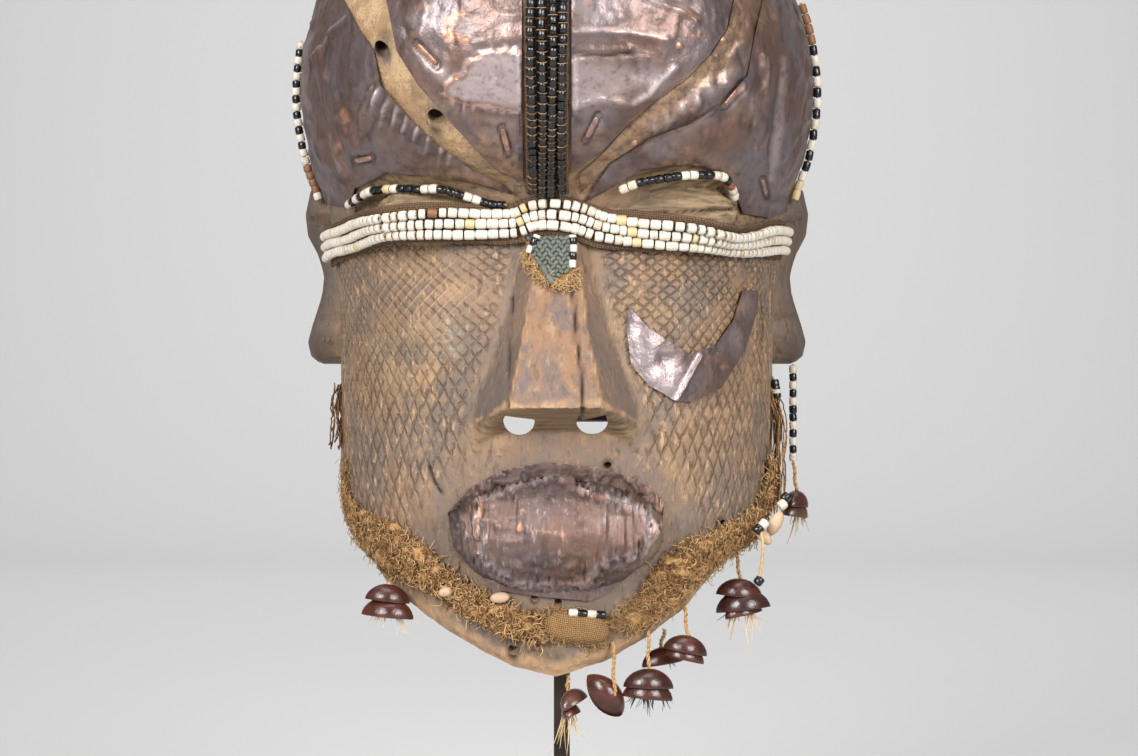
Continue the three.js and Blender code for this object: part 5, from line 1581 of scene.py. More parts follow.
@dataclass
class CopperSheets:
    """The copper sheets over the forehead, the crescent on the cheek and the sheet over the mouth."""

    step: float = 1.05
    fine_step: float = 0.7
    front_length: float = 215.0  # the way over the front for one unit of turn

    def levels(self, low: float, high: float, step: float) -> Array:
        """Gives row levels about a step apart on the form, up to near the crown."""
        bulge = FORM.bulge * FORM.height
        if high <= bulge:
            return np.linspace(low, high, max(2, round((high - low) / step)))
        straight = np.linspace(low, bulge, max(2, round((bulge - low) / step)), endpoint=False)
        dome = FORM.height - bulge
        last = min((high - bulge) / dome, 0.9985)
        end = math.acos((1 - last ** FORM.front_dome) ** 0.5)
        turns = np.linspace(0, end, max(3, round(200 * end / 1.57 / step)))
        return np.concatenate([straight, bulge + dome * np.sin(turns) ** (2 / FORM.front_dome)])

    def grid(self, outline: Sequence[Point], step: float) -> Array:
        """Lays rows of places on the form, a little past an outline, a step apart."""
        xs, hs = np.array(outline).T
        levels = self.levels(hs.min() - 3, min(hs.max() + 3, FORM.height), step)
        fulls = FORM.half_width_at(levels[levels < 0.98 * FORM.height])
        ends = []
        for edge, widest in ((xs.min() - 3, np.min), (xs.max() + 3, np.max)):
            shares = np.minimum(1.0, abs(edge) / np.array([fulls.min(), fulls.max()]))
            turns = np.arcsin(shares ** (FORM.front_power / 2)) / (0.5 * math.pi)
            ends.append(float(widest(np.copysign(np.minimum(turns, 0.999), edge))))
        count = max(8, round((ends[1] - ends[0]) * self.front_length / step))
        turns, h = np.meshgrid(np.linspace(*ends, count), levels)
        return FORM.at_front(turns, h)

    def patina(self, relief: Relief, x: Array, h: Array, edge: Array,
               wrinkles: Array) -> dict[str, Array]:
        """Works out where the patina is burnished and painted with highlights, rubbed bright, tan, or
        sooted and painted with shade.

        Args:
            relief: what is beaten into the sheet.
            x: each place across.
            h: each place's height.
            edge: how near each place is to the sheet's edge, 1 on it.
            wrinkles: how high the fine wrinkles stand.

        Returns:
            The named attributes.
        """
        marks = {key: np.clip(add_all(getattr(relief, key), x, h), 0, 1)
                 for key in ("burnish", "glow", "tan", "soot")}
        # painted highlight over each plateau's middle and along the crumples of its edge
        for plateau in relief.plateaus:
            depth = plateau.within(x, h)
            rim = np.exp(-((depth + 0.6) / 1.7) ** 2) * ease(wrinkles, -0.3, 0.5)
            marks["burnish"] = np.maximum.reduce(
                [marks["burnish"], plateau.shine * ease(depth, 0, 3), 0.9 * rim])
        marks["glow"] = np.maximum(marks["glow"], 0.4 * edge ** 2)
        # a dark ring round each staple: painted shade in its slit
        for staple in STAPLES:
            away = distance_to_line(x, h, staple)
            marks["soot"] = np.maximum(marks["soot"], 0.9 * np.exp(-((away - 1.7) / 0.6) ** 2))
        return marks

    def lay(self, name: str, material: bpy.types.Material, step: float) -> Object:
        """Lays one sheet on the form, beats its relief and cuts it to its outline.

        Args:
            name: the sheet's name, which is its node's.
            material: its finish.
            step: the distance between its grid's lines.

        Returns:
            The finished sheet.
        """
        outline, relief = OUTLINES[name], RELIEFS[name]
        places = self.grid(outline, step)
        normals = grid_normals(places)
        x, h = places[..., 0], places[..., 2]
        noise = Grain(len(name) + int(abs(np.array(outline)[:, 0].sum())))
        edge = np.exp(-distance_to_line(x, h, outline, closed=True) / 2.2)
        wrinkles = 0.8 - 2.4 * np.abs(noise(places, relief.folds))
        creases = 0.7 - 2.2 * np.abs(noise(places + 50, 10.0))
        height = 0.35 + relief.dents * noise.rough(places, 15.0, 3) * (1 - edge)
        height += relief.crumple * (creases + 0.45 * wrinkles)
        height += add_all(relief.features, x, h) - 0.25 * edge
        for staple in STAPLES:
            height -= 0.8 * np.exp(-(distance_to_line(x, h, staple) / 2.2) ** 4)
        for plateau in relief.plateaus:
            height += plateau.height(x, h, wrinkles)
        sooty = np.clip(add_all(relief.soot, x, h), 0, 1)
        height += relief.crust * sooty * (0.35 + noise.rough(places, 3.4, 3))
        height = np.maximum(height, -0.5)
        sheet = plate(name + "_sheet", places + normals * (GAP + SHEET + height)[..., None],
                      places + normals * GAP)
        for key, values in self.patina(relief, x, h, edge, wrinkles).items():
            set_attribute(sheet, key, np.concatenate([values.ravel(), values.ravel()]))
        set_even(sheet, dull=relief.dull)
        cut(sheet, front_prism(outline, -400, CORONAL), "INTERSECT")
        smooth_below(sheet, 45)
        return finished(sheet, material, Slot.COPPER, name)

    def build(self, material: bpy.types.Material) -> list[Object]:
        """Builds every sheet."""
        fine = ("copper_cheek_crescent", "copper_lip_sheet")
        return [self.lay(name, material, self.fine_step if name in fine else self.step)
                for name in OUTLINES]


# Lines on the form


class Run:
    """A line on the form, with the direction that faces outwards at each place."""

    def __init__(self, places: Array, outward: Array) -> None:
        """Keeps the line and measures it."""
        self.places, self.outward = places, outward
        steps = np.linalg.norm(np.diff(places, axis=0), axis=1)
        self.lengths = np.concatenate([[0.0], np.cumsum(steps)])
        self.length = float(self.lengths[-1])

    def blend(self, values: Array, along: Array) -> Array:
        """Gives values between those kept along the line."""
        return np.stack([np.interp(along, self.lengths, values[:, axis]) for axis in range(3)], axis=-1)

    def at(self, along: Array | float) -> tuple[Array, Array, Array, Array]:
        """Gives places and directions at distances along the line.

        Args:
            along: distances from the line's start.

        Returns:
            The places, and the directions along the line, across it and outwards.
        """
        along = np.asarray(along, float)
        place = self.blend(self.places, along)
        ahead = self.blend(self.places, np.minimum(along + 0.8, self.length))
        behind = self.blend(self.places, np.maximum(along - 0.8, 0.0))
        tangent = unit(ahead - behind)
        across = unit(np.cross(self.blend(self.outward, along), tangent))
        return place, tangent, across, np.cross(tangent, across)


def unit(vectors: Array) -> Array:
    """Gives vectors of length one."""
    return vectors / np.maximum(np.linalg.norm(vectors, axis=-1, keepdims=True), 1e-9)


def stands_out(x: Array, h: Array) -> Array:
    """Gives how far the carved face stands out of the plain form."""
    return FORM.bare(x, h) - FORM.face(x, h)


def bridged(x: Array, h: Array, stiffness: float) -> Array:
    """Gives the depth at which a strip lies, which reaches over hollows if it is stiff."""
    if not stiffness:
        return FORM.face(x, h)
    reaches = [share * stiffness for share in (-1, -0.5, 0, 0.5, 1)]
    highest = [np.maximum.reduce([stands_out(x + far + near / 2, h) for near in reaches])
               for far in reaches]
    return FORM.bare(x, h) - np.maximum(stands_out(x, h), sum(highest) / len(reaches))


def face_run(points: Sequence[Point], stiffness: float = 0.0) -> Run:
    """Lays a line over the face.

    Args:
        points: places that it passes, in front view.
        stiffness: how far a stiff strip reaches over a hollow.

    Returns:
        The line, ended where it meets the sides.
    """
    line = smooth_line([(x, 0, h) for x, h in points], 601)
    x, h = line[:, 0], line[:, 2]
    keep = np.abs(x) < FORM.side_at(h, CORONAL - GAP)
    x, h = x[keep], h[keep]
    step = 1.5
    across = (bridged(x + step, h, stiffness) - bridged(x - step, h, stiffness)) / (2 * step)
    along = (bridged(x, h + step, stiffness) - bridged(x, h - step, stiffness)) / (2 * step)
    outward = unit(np.stack([across, -np.ones_like(x), along], axis=-1))
    y = bridged(x, h, stiffness)
    if stiffness:
        apart = abs(x[-1] - x[0]) / (len(x) - 1)
        reach = max(1, round(0.5 * stiffness / apart))
        y = np.minimum(y, FORM.bare(x, h) + soften((y - FORM.bare(x, h))[:, None], reach)[:, 0]) - 0.2
        y = FORM.bare(x, h) + soften((y - FORM.bare(x, h))[:, None], reach // 2)[:, 0]
        outward = unit(soften(outward, reach))
    return Run(np.stack([x, y, h], axis=-1), outward)


def soften(values: Array, reach: int) -> Array:
    """Takes the running mean of each column over a reach to both sides."""
    window = np.ones(2 * reach + 1) / (2 * reach + 1)
    return np.stack([np.convolve(np.pad(column, reach, "edge"), window, "valid") for column in values.T],
                    axis=-1)


def crown_run(x: float, start: float, end: float) -> Run:
    """Lays a line up the forehead from one level, over the crown and down the back to another."""
    first, last = math.asin(start / FORM.height), math.pi - math.asin(end / FORM.height)
    turn = np.linspace(first, last, 501)
    h = np.minimum(FORM.height * np.sin(turn), FORM.height - 1e-6)
    full = np.maximum(FORM.half_width_at(h), abs(x) + 0.1)
    back = FORM.back_at(h) * arch(abs(x) / full, 2)
    y = np.where(turn < 0.5 * math.pi, FORM.bare(x, h), back)
    places = np.stack([np.full_like(h, x), y, h], axis=-1)
    along = unit(np.gradient(places, axis=0))
    soft = soften(along, 12)
    return Run(places, unit(np.stack([np.zeros_like(h), -soft[:, 2], soft[:, 1]], axis=-1)))


def side_run(side: int, start: float, end: float, depth: float) -> Run:
    """Lays a line down one side, at a depth ahead of the ear line."""
    h = np.linspace(start, end, 301)
    places = np.stack([side * FORM.side_at(h, depth), np.full_like(h, depth), h], axis=-1)
    return Run(places, np.tile([float(side), 0, 0], (len(h), 1)))


def on_face(x: float, h: float, proud: float = 0.0) -> Array:
    """Gives a place over the face in front view, standing proud of the wood."""
    return np.array([x, float(FORM.face(np.array(x), np.array(h))) - proud, h])


def swept(name: str, run: Run, alongs: Array, section: Array) -> Object:
    """Sweeps a section along a run.

    Args:
        name: the piece's name.
        run: the line to follow.
        alongs: the distances of the rings.
        section: across and outward places, one set for all rings or one for each, listed from the
            far side over the top.

    Returns:
        The closed piece, with a UV map of distances along and around.
    """
    place, _, across, outward = run.at(alongs)
    section = np.broadcast_to(section, (len(alongs), *np.shape(section)[-2:]))
    grid = (place[:, None] + across[:, None] * section[..., 0:1] + outward[:, None] * section[..., 1:2])
    piece = tube(name, grid)
    uv = np.stack(np.broadcast_arrays(alongs[:, None], section[..., 0]), axis=-1)
    set_uv(piece, "along", uv.reshape(-1, 2))
    return piece


def strands(name: str, lines: Array, radius: Array | float, sides: int = 3,
            tints: Array | None = None) -> Object:
    """Makes many thin strands as one mesh.

    Args:
        name: the piece's name.
        lines: the strands' places, as strands by places by 3.
        radius: one radius, or one for each strand and place.
        sides: how many sides a strand has.
        tints: each strand's tint from 0 to 1.

    Returns:
        The piece, with its tints as an attribute.
    """
    count, places = lines.shape[:2]
    radius = np.broadcast_to(np.asarray(radius, float), (count, places))[..., None]
    tangent = unit(np.gradient(lines, axis=1))
    first = unit(np.cross(tangent, np.array([0.31, 0.52, 0.79])))
    second = np.cross(tangent, first)
    turns = np.arange(sides) * 2 * math.pi / sides
    rings = np.stack([lines + radius * (math.cos(t) * first + math.sin(t) * second) for t in turns], axis=2)
    one = [tuple(reversed(face)) for face in quads(places, sides, closed=True)]
    one += [tuple(range(sides)), tuple(reversed(range((places - 1) * sides, places * sides)))]
    size = places * sides
    faces = [tuple(i + k * size for i in face) for k in range(count) for face in one]
    piece = new_piece(name, rings.reshape(-1, 3), [tuple(reversed(face)) for face in faces])
    if tints is None:
        tints = np.full(count, 0.5)
    set_attribute(piece, "tint", np.repeat(tints, size))
    return piece


# Beads


class Glass(Enum):
    """The kinds of bead."""

    WHITE = 0
    BLACK = 1
    GREEN = 2
    RUST = 3
    CREAM = 4


@dataclass(frozen=True)
class Bead:
    """One bead: where it is, how it lies, how big it is and what it is made of."""

    place: Array
    along: Array
    outward: Array
    radius: float
    length: float
    glass: Glass = Glass.WHITE
    flat: float = 1.0


class BeadMaker:
    """Models one drilled bead and lays copies of it."""

    def __init__(self, hole: float = 0.4, rounding: float = 0.17) -> None:
        """Models the bead, one unit in radius and in length.

        Args:
            hole: the hole's radius as a share of the bead's.
            rounding: how far its ends are rounded.
        """
        bpy.ops.object.select_all(action="DESELECT")
        bpy.ops.mesh.primitive_cylinder_add(vertices=8, radius=1, depth=1)
        bead = bpy.context.object
        bpy.ops.object.mode_set(mode="EDIT")
        bpy.ops.mesh.select_mode(type="FACE")
        self.select_ends(bead)
        bpy.ops.mesh.bevel(offset=rounding, segments=1)
        self.select_ends(bead)
        bpy.ops.mesh.inset(thickness=1 - rounding - hole, use_individual=True)
        bpy.ops.mesh.bridge_edge_loops()
        bpy.ops.object.mode_set(mode="OBJECT")
        self.places, self.faces = taken(bead)

    def select_ends(self, bead: Object) -> None:
        """Selects the two flat ends of the bead in edit mode."""
        bpy.ops.object.mode_set(mode="OBJECT")
        for polygon in bead.data.polygons:
            polygon.select = abs(polygon.normal.z) > 0.99 and abs(polygon.center.z) > 0.49
        bpy.ops.object.mode_set(mode="EDIT")

    def lay(self, name: str, beads: Sequence[Bead], seed: int = 1) -> Object:
        """Lays beads as one mesh.

        Args:
            name: the piece's name.
            beads: the beads to lay.
            seed: for their small differences.

        Returns:
            The piece, with each bead's kind and tint as attributes.
        """
        random = np.random.RandomState(seed)
        places, faces, kinds, tints = [], [], [], []
        for bead in beads:
            along = unit(np.asarray(bead.along, float) + random.normal(0, 0.045, 3))
            across = unit(np.cross(bead.outward, along))
            outward = np.cross(along, across)
            radius = bead.radius * (1 + random.normal(0, 0.025))
            frame_rows = np.stack([across * radius, outward * radius * bead.flat, along * bead.length])
            start = len(places) * len(self.places)
            places.append(self.places @ frame_rows + bead.place)
            faces += [tuple(i + start for i in face) for face in self.faces]
            kinds.append(bead.glass.value)
            tints.append(random.rand())
        piece = new_piece(name, np.vstack(places), faces)
        for label, values in (("kind", kinds), ("tint", tints)):
            set_attribute(piece, label, np.repeat(np.array(values, float), len(self.places)))
        smooth_below(piece, 38)
        return piece


def spaced(run: Run, lengths: Callable[[Array], float], start: float, end: float,
           gap: float) -> list[tuple[float, float]]:
    """Packs beads along a run.

    Args:
        run: the line that they are strung along.
        lengths: gives a bead's length from the place where it starts.
        start: the distance of the first bead.
        end: the distance past which none is added.
        gap: the room between two beads.

    Returns:
        Each bead's middle and length.
    """
    beads, along = [], start
    while True:
        length = lengths(run.at(along)[0])
        if along + length > end:
            return beads
        beads.append((along + length / 2, length))
        along += length + gap


def pattern(text: str) -> list[Glass]:
    """Reads a row of beads: W white, K black, G green, R rust, C cream."""
    kinds = dict(zip("WKGRC", Glass))
    return [kinds[letter] for letter in text]


@dataclass
class EyeBand:
    """The strip across the eyes, with three rows of chalky beads."""

    pitch: float = 5.0
    radius: float = 2.45
    margin: float = 2.0
    stiffness: float = 14.0
    path: tuple[Point, ...] = (
        (-108, 49.9), (-94, 50.6), (-81.6, 51.7), (-67, 52.9), (-47, 53.2), (-29, 53), (-15.2, 53),
        (-9.6, 53.7), (-2.4, 54), (7.2, 53.5), (17, 52.5), (31, 52.2), (50.4, 52), (66.4, 51.5),
        (80.8, 51.8), (108, 52.3))
    sizes: tuple[Point, ...] = (
        (-110, 2.3), (-92, 2.7), (-75, 3.1), (-60, 3.4), (-48, 4.6), (-32, 4.9), (-24, 3.2), (-15, 2.7),
        (-9, 3.6), (-3, 4.7), (3, 4.4), (9, 3.1), (18, 3.2), (28, 4.4), (45, 4.6), (58, 4.1), (70, 3.3),
        (84, 3.0), (110, 2.7))

    def build(self, maker: BeadMaker, glass: bpy.types.Material, cloth: bpy.types.Material) -> None:
        """Builds the cloth and its beads."""
        run = face_run(FORM.drawn(self.path), self.stiffness)
        sew_cloth("eye_band_cloth", run, 1.5 * self.pitch + self.margin, cloth)
        random = np.random.RandomState(5)
        xs, sizes = zip(*self.sizes)
        beads = []
        for row in (-1, 0, 1):
            def length(place: Array) -> float:
                """Gives one bead's length, which changes across the band."""
                return float(np.interp(place[0], xs, sizes)) * (1 + random.normal(0, 0.13))

            for along, size in spaced(run, length, 1.0 + 0.6 * row, run.length - 1.5 - 0.7 * row, 0.55):
                place, tangent, across, outward = run.at(along)
                wave = 0.35 * math.sin(along * 0.11 + row)
                lift = CLOTH + 2 * GAP + self.radius - 0.15
                middle = place + across * (row * self.pitch * 0.98 + wave) + outward * lift
                kind = Glass.CREAM if random.rand() < 0.035 else Glass.WHITE
                if row == 1 and abs(place[0] + 57) < 2.2:
                    kind = Glass.RUST
                beads.append(Bead(middle, tangent, outward, self.radius * random.uniform(0.94, 1.03),
                                  size, kind))
        piece = maker.lay("eye_band_beads_sewn", beads, 3)
        finished(piece, glass, Slot.WHITE, "eye_band_beads")


@dataclass
class CrownBand:
    """The strip over the crown, with four rows of glossy black tubular beads."""

    rows: int = 4
    pitch: float = 4.8
    radius: float = 2.27
    margin: float = 0.3
    middle: float = -4.0
    bottom: float = 227.2
    back: float = 372.0

    def build(self, maker: BeadMaker, glass: bpy.types.Material, cloth: bpy.types.Material,
              fibre: bpy.types.Material) -> None:
        """Builds the cloth, the beads and the threads that cross between them."""
        run = crown_run(self.middle, self.bottom, self.back)
        half = self.rows * self.pitch / 2
        sew_cloth("crown_band_cloth", run, half + self.margin, cloth)
        random = np.random.RandomState(17)
        beads, threads = [], []
        lift = CLOTH + 2 * GAP + self.radius
        for row in range(self.rows):
            offset = (row + 0.5) * self.pitch - half

            def length(place: Array) -> float:
                """Gives one bead's length, which is less low on the forehead."""
                low = place[1] < 0 and place[2] < 262
                return (3.1 if low else 3.9) * (1 + random.normal(0, 0.1))

            start = 0.6 + (1.6, 1.0, 0.6, 2.2)[row]
            for along, size in spaced(run, length, start, run.length - 1.0, 0.42):
                place, tangent, across, outward = run.at(along)
                slack = 0.55 * math.sin(along * 0.045 + row * 1.3) + random.normal(0, 0.1)
                middle = place + across * (offset * 0.97 + slack) + outward * (lift - 0.1)
                beads.append(Bead(middle, tangent, outward, self.radius * random.uniform(0.93, 1.0),
                                  size, Glass.BLACK))
                seam = middle + tangent * (size / 2 + 0.21)
                sag = [seam + across * side * self.pitch * 0.52 + outward * rise * self.radius
                       for side, rise in ((-1, -0.25), (-0.5, 0.55), (0.5, 0.55), (1, -0.25))]
                if random.rand() < 0.85:
                    threads.append(sag)
        piece = maker.lay("crown_band_beads_sewn", beads, 8)
        finished(piece, glass, Slot.BLACK, "crown_band_beads")
        lines = np.array(threads)
        piece = strands("crown_band_threads", lines, 0.26, 4, random.uniform(0.0, 0.5, len(lines)))
        finished(piece, fibre, Slot.RAFFIA)


def sew_cloth(name: str, run: Run, half: float, material: bpy.types.Material) -> Object:
    """Makes a strip of cloth with a rough edge.

    Args:
        name: the node that it stands for.
        run: the line that it follows.
        half: half its width.
        material: its finish.

    Returns:
        The finished strip.
    """
    alongs = np.arange(0.0, run.length, 1.2)
    place, _, _, _ = run.at(alongs)
    rough = Grain(3)
    near, far = (0.5 * rough.rough(place + side * 40, 5.0, 2) for side in (-1, 1))
    shares = np.array([1, 0.97, 0.8, 0.5, 0.2, -0.2, -0.5, -0.8, -0.97, -1])
    edge = np.where(shares > 0, far[:, None], near[:, None])
    across = shares * (half + np.where(np.abs(shares) > 0.9, edge, 0))
    top = 2 * GAP + CLOTH * np.where(np.abs(shares) > 0.98, 0.6, 1.0)
    top = top + 0.12 * rough(place[:, None] + across[..., None] * np.array([0, 0.3, 1]), 2.4)
    upper = np.stack(np.broadcast_arrays(across, top), axis=-1)
    low = np.stack(np.broadcast_arrays(across[:, ::-1], np.full_like(top, 2 * GAP)), axis=-1)
    lower = low[:, [0, 3, 6, 9]]
    piece = swept(name + "_strip", run, alongs, np.concatenate([upper, lower], axis=1))
    return finished(piece, material, Slot.CLOTH, name)


@dataclass(frozen=True)
class BeadString:
    """One string of beads lying on the form."""

    node: str
    run: Run
    glasses: str
    low: float
    radius: float = 2.3
    start: float = 0.5

    def build(self, maker: BeadMaker, glass: bpy.types.Material, fibre: bpy.types.Material) -> None:
        """Builds the beads and the cord that they are strung on.

        Args:
            maker: lays the beads.
            glass: the beads' finish.
            fibre: the cord's finish.
        """
        kinds = pattern(self.glasses)
        size = (self.run.length - self.start - 0.5) / len(kinds)
        random = np.random.RandomState(len(kinds))
        beads = []
        for i, kind in enumerate(kinds):
            along = self.start + (i + 0.5) * size
            place, tangent, _, outward = self.run.at(along)
            middle = place + outward * (self.low + self.radius)
            radius = self.radius * (0.93 if kind is Glass.BLACK else 1.0) * random.uniform(0.95, 1.03)
            beads.append(Bead(middle, tangent, outward, radius, size * 0.94, kind))
        piece = maker.lay(self.node + "_strung", beads, 4)
        finished(piece, glass, Slot.BLACK, self.node)
        alongs = np.linspace(0, self.run.length, 40)
        place, _, _, outward = self.run.at(alongs)
        cord = (place + outward * (self.low + self.radius))[None]
        finished(strands(self.node + "_cord", cord, 0.7, 6), fibre, Slot.RAFFIA)


@dataclass
class Fringe:
    """Dark old fibre left along the back of the jaw's edges."""

    seed: int
    right: tuple[tuple[float, float, float], ...] = (
        (105.8, -26, 139), (107.6, -27, 128), (109.4, -28, 117), (108.6, -34, 98), (107.6, -42, 78))
    left: tuple[tuple[float, float, float], ...] = (
        (-106.0, -26, 137), (-107.8, -27, 128), (-107.0, -28, 118), (-107.6, -30, 108))

    def build(self, fibre: bpy.types.Material) -> Array:
        """Builds the fibre on both sides.

        Args:
            fibre: its finish.

        Returns:
            Places along the top of the right side, a bead's length apart.
        """
        random = np.random.RandomState(self.seed)
        lines, tints = [], []
        for path, count in ((self.right, 26), (self.left, 18)):
            middle = smooth_line(path, 24)
            for _ in range(count):
                waver = np.cumsum(random.normal(0, 0.35, (24, 3)), axis=0)
                lines.append(middle + random.normal(0, 1.1, 3) + waver)
                tints.append(random.uniform(-0.4, 0.35 if path is self.right else 0.05))
        finished(strands("jaw_fringe", np.array(lines), 0.42, 4, np.array(tints)), fibre, Slot.RAFFIA)
        return smooth_line(self.right, 26)[1:7] + np.array([1.2, -1.5, 0])


class Strings:
    """The strings of beads on the brows, the sides and the ear."""

    brow_left = ((-96.8, 223.9), (-92.1, 227.4), (-85.9, 230.5), (-80, 231.3), (-71.7, 231.5),
                 (-63.6, 231), (-53.9, 231.1), (-44.4, 228.7), (-36.5, 226), (-29.5, 223.3), (-22.4, 222.5))
    brow_right = ((29, 230), (32.5, 231.5), (39.6, 233.9), (49, 235.5), (56.9, 236.8), (64.9, 237.4),
                  (73, 237.4), (77.5, 236.2), (80.2, 232.6), (81.8, 229.6), (82.1, 226.8))

    jaw_beads = (((98.6, -80, 70.6), "W"), ((95.9, -82, 68.2), "K"), ((108.4, -66, 79.2), "W"),
                 ((110.2, -63, 82.6), "K"), ((96.4, -79, 43.5), "K"))
    jaw_twine = ((96.5, -83, 69.5), (98.0, -83, 62), (97.6, -81, 52), (96.2, -79, 43))

    def build(self, maker: BeadMaker, glass: bpy.types.Material, fibre: bpy.types.Material) -> None:
        """Builds every string."""
        low = SHEET + 3 * GAP
        ear = np.linspace(146.9, 97.9, 60)
        ear_run = Run(np.stack([np.full(60, 118.0 - 2.1), np.full(60, -2.0), ear], axis=-1),
                      np.tile([1.0, 0, 0], (60, 1)))
        strings = (
            BeadString("brow_beads_left", face_run(self.brow_left), "WKWKWWKKCWKKKWWKKKWWKKK", low),
            BeadString("brow_beads_right", face_run(self.brow_right), "WWKKKKKWWKKWWKRWW", low),
            BeadString("side_beads_left", side_run(-1, 306, 228.8, -17.25), "WKWKWKWKWKWKWKWWRRRRW", low),
            BeadString("side_beads_right", side_run(1, 324, 228.8, -17.25), "RRRRKWKWKWKWKWKKWCC", low),
            BeadString("ear_string_right", ear_run, "WKWKWKKWKWKW", 0.0, 2.1))
        for string in strings:
            string.build(maker, glass, fibre)
        beads = [Bead(np.array(place), unit(np.array([0.7, 0.2, 0.7])), np.array([0.0, -1, 0]), 2.5, 3.8,
                      pattern(kind)[0])
                 for place, kind in self.jaw_beads]
        finished(maker.lay("jaw_beads", beads, 6), glass, Slot.BLACK)
        fringe = Fringe(3).build(fibre)
        beads = [Bead(fringe[i], unit(fringe[i + 1] - fringe[i]), np.array([0.6, -0.8, 0]), 2.3, 3.9, kind)
                 for i, kind in enumerate(pattern("KKWK"))]
        finished(maker.lay("fringe_beads", beads, 4), glass, Slot.BLACK)
        twine = smooth_line(self.jaw_twine, 16)[None]
        finished(strands("jaw_twine", twine, 0.75, 6, np.array([0.8])), fibre, Slot.RAFFIA)


# Fibre, cloth, seeds and small trim


@dataclass
class Fuzz:
    """Curly raffia fibre around a run."""

    seed: int
    places: int = 8

    def curls(self, run: Run, count: int, half_width: float, tall: float, length: float,
              swell: Callable[[Array], Array] = np.ones_like) -> tuple[Array, Array]:
        """Draws curled fibres that lie over a mound.

        Args:
            run: the mound's middle line.
            count: how many fibres to draw.
            half_width: half the mound's width.
            tall: its height.
            length: a fibre's usual length.
            swell: how much wider and taller the mound is at a share of the run.

        Returns:
            The fibres' places and their tints.
        """
        random = np.random.RandomState(self.seed)
        share = random.rand(count)
        place, along, across, outward = run.at(share * run.length)
        side = random.uniform(-1, 1, count)
        rise = np.sqrt(np.maximum(1 - np.abs(side) ** 2.4, 0)) * random.uniform(0.55, 1.06, count)
        start = (place + across * (side * half_width * swell(share))[:, None]
                 + outward * (GAP + rise * tall * swell(share))[:, None])
        heading = random.uniform(-math.pi, math.pi, count)
        turning = random.normal(0, 0.8, count)
        lift = random.normal(0.0, 0.2, count)
        reach = length * random.uniform(0.5, 1.3, count) / self.places
        line = [start]
        for _ in range(self.places - 1):
            heading = heading + turning + random.normal(0, 0.35, count)
            lift = lift - 0.05 + random.normal(0, 0.12, count)
            step = (along * np.cos(heading)[:, None] + across * np.sin(heading)[:, None]
                    + outward * lift[:, None])
            line.append(line[-1] + unit(step) * reach[:, None])
        lines = np.stack(line, axis=1)
        floor = FORM.face(lines[..., 0], lines[..., 2]) - GAP - 0.15
        lines[..., 1] = np.where(lines[..., 1] < 0, np.minimum(lines[..., 1], floor), lines[..., 1])
        return lines, random.rand(count)


@dataclass
class RaffiaEdge:
    """Frayed raffia cloth along one side of the jaw."""

    node: str
    path: tuple[Point, ...]
    clump: float
    thin_start: float  # share of the run over which it thickens from its start
    seed: int
    half_width: float = 8.4
    thickness: float = 6.4

    def swell(self, share: Array) -> Array:
        """Gives how much thicker the raffia is in its clump."""
        clump = 0.55 * np.exp(-((share - self.clump) / 0.16) ** 2)
        return (0.72 + clump) * (0.5 + 0.5 * ease(share, 0, self.thin_start))

    def build(self, fibre: bpy.types.Material) -> None:
        """Builds the matted core and the loose fibres over it."""
        run = face_run(FORM.drawn(self.path))
        alongs = np.linspace(0, run.length, round(run.length / 0.9))
        share = alongs / run.length
        grain = Grain(self.seed)
        place = run.at(alongs)[0]
        ends = np.minimum(1, np.minimum(share, 1 - share) * 18)
        ragged = 1 + 0.3 * grain.rough(place, 6, 2)
        turns = np.linspace(0, math.pi, 15)
        across = np.cos(turns) * self.half_width * (self.swell(share) * ragged * ends)[:, None]
        rise = np.sin(turns) ** 0.7 * 0.62 * self.thickness * (self.swell(share) * ends)[:, None]
        lumps = grain.rough(place[:, None] + across[..., None] * np.array([0.4, 0.2, 1.0]), 3.2, 3)
        rise = GAP + rise * (1 + 0.5 * lumps)
        section = np.stack([across, rise], axis=-1)
        section = np.concatenate([section, section[:, [14, 7, 0]] * [1, 0] + [0, GAP]], axis=1)
        core = swept(self.node + "_mat", run, alongs, section)
        set_attribute(core, "tint", 0.12 + 0.35 * np.concatenate(
            [lumps, np.zeros((len(alongs), 3))], axis=1).ravel())
        finished(core, fibre, Slot.RAFFIA, self.node)
        count = 3600
        lines, tints = Fuzz(self.seed).curls(
            run, count, 1.12 * self.half_width, 0.78 * self.thickness, 7.5, self.swell)
        radius = np.random.RandomState(self.seed).uniform(0.12, 0.3, (count, 1)) * np.array(
            [[0.6, 1, 1, 1, 1, 1, 0.8, 0.4]])
        finished(strands(self.node + "_fibres", lines, radius, 3, tints), fibre, Slot.RAFFIA)


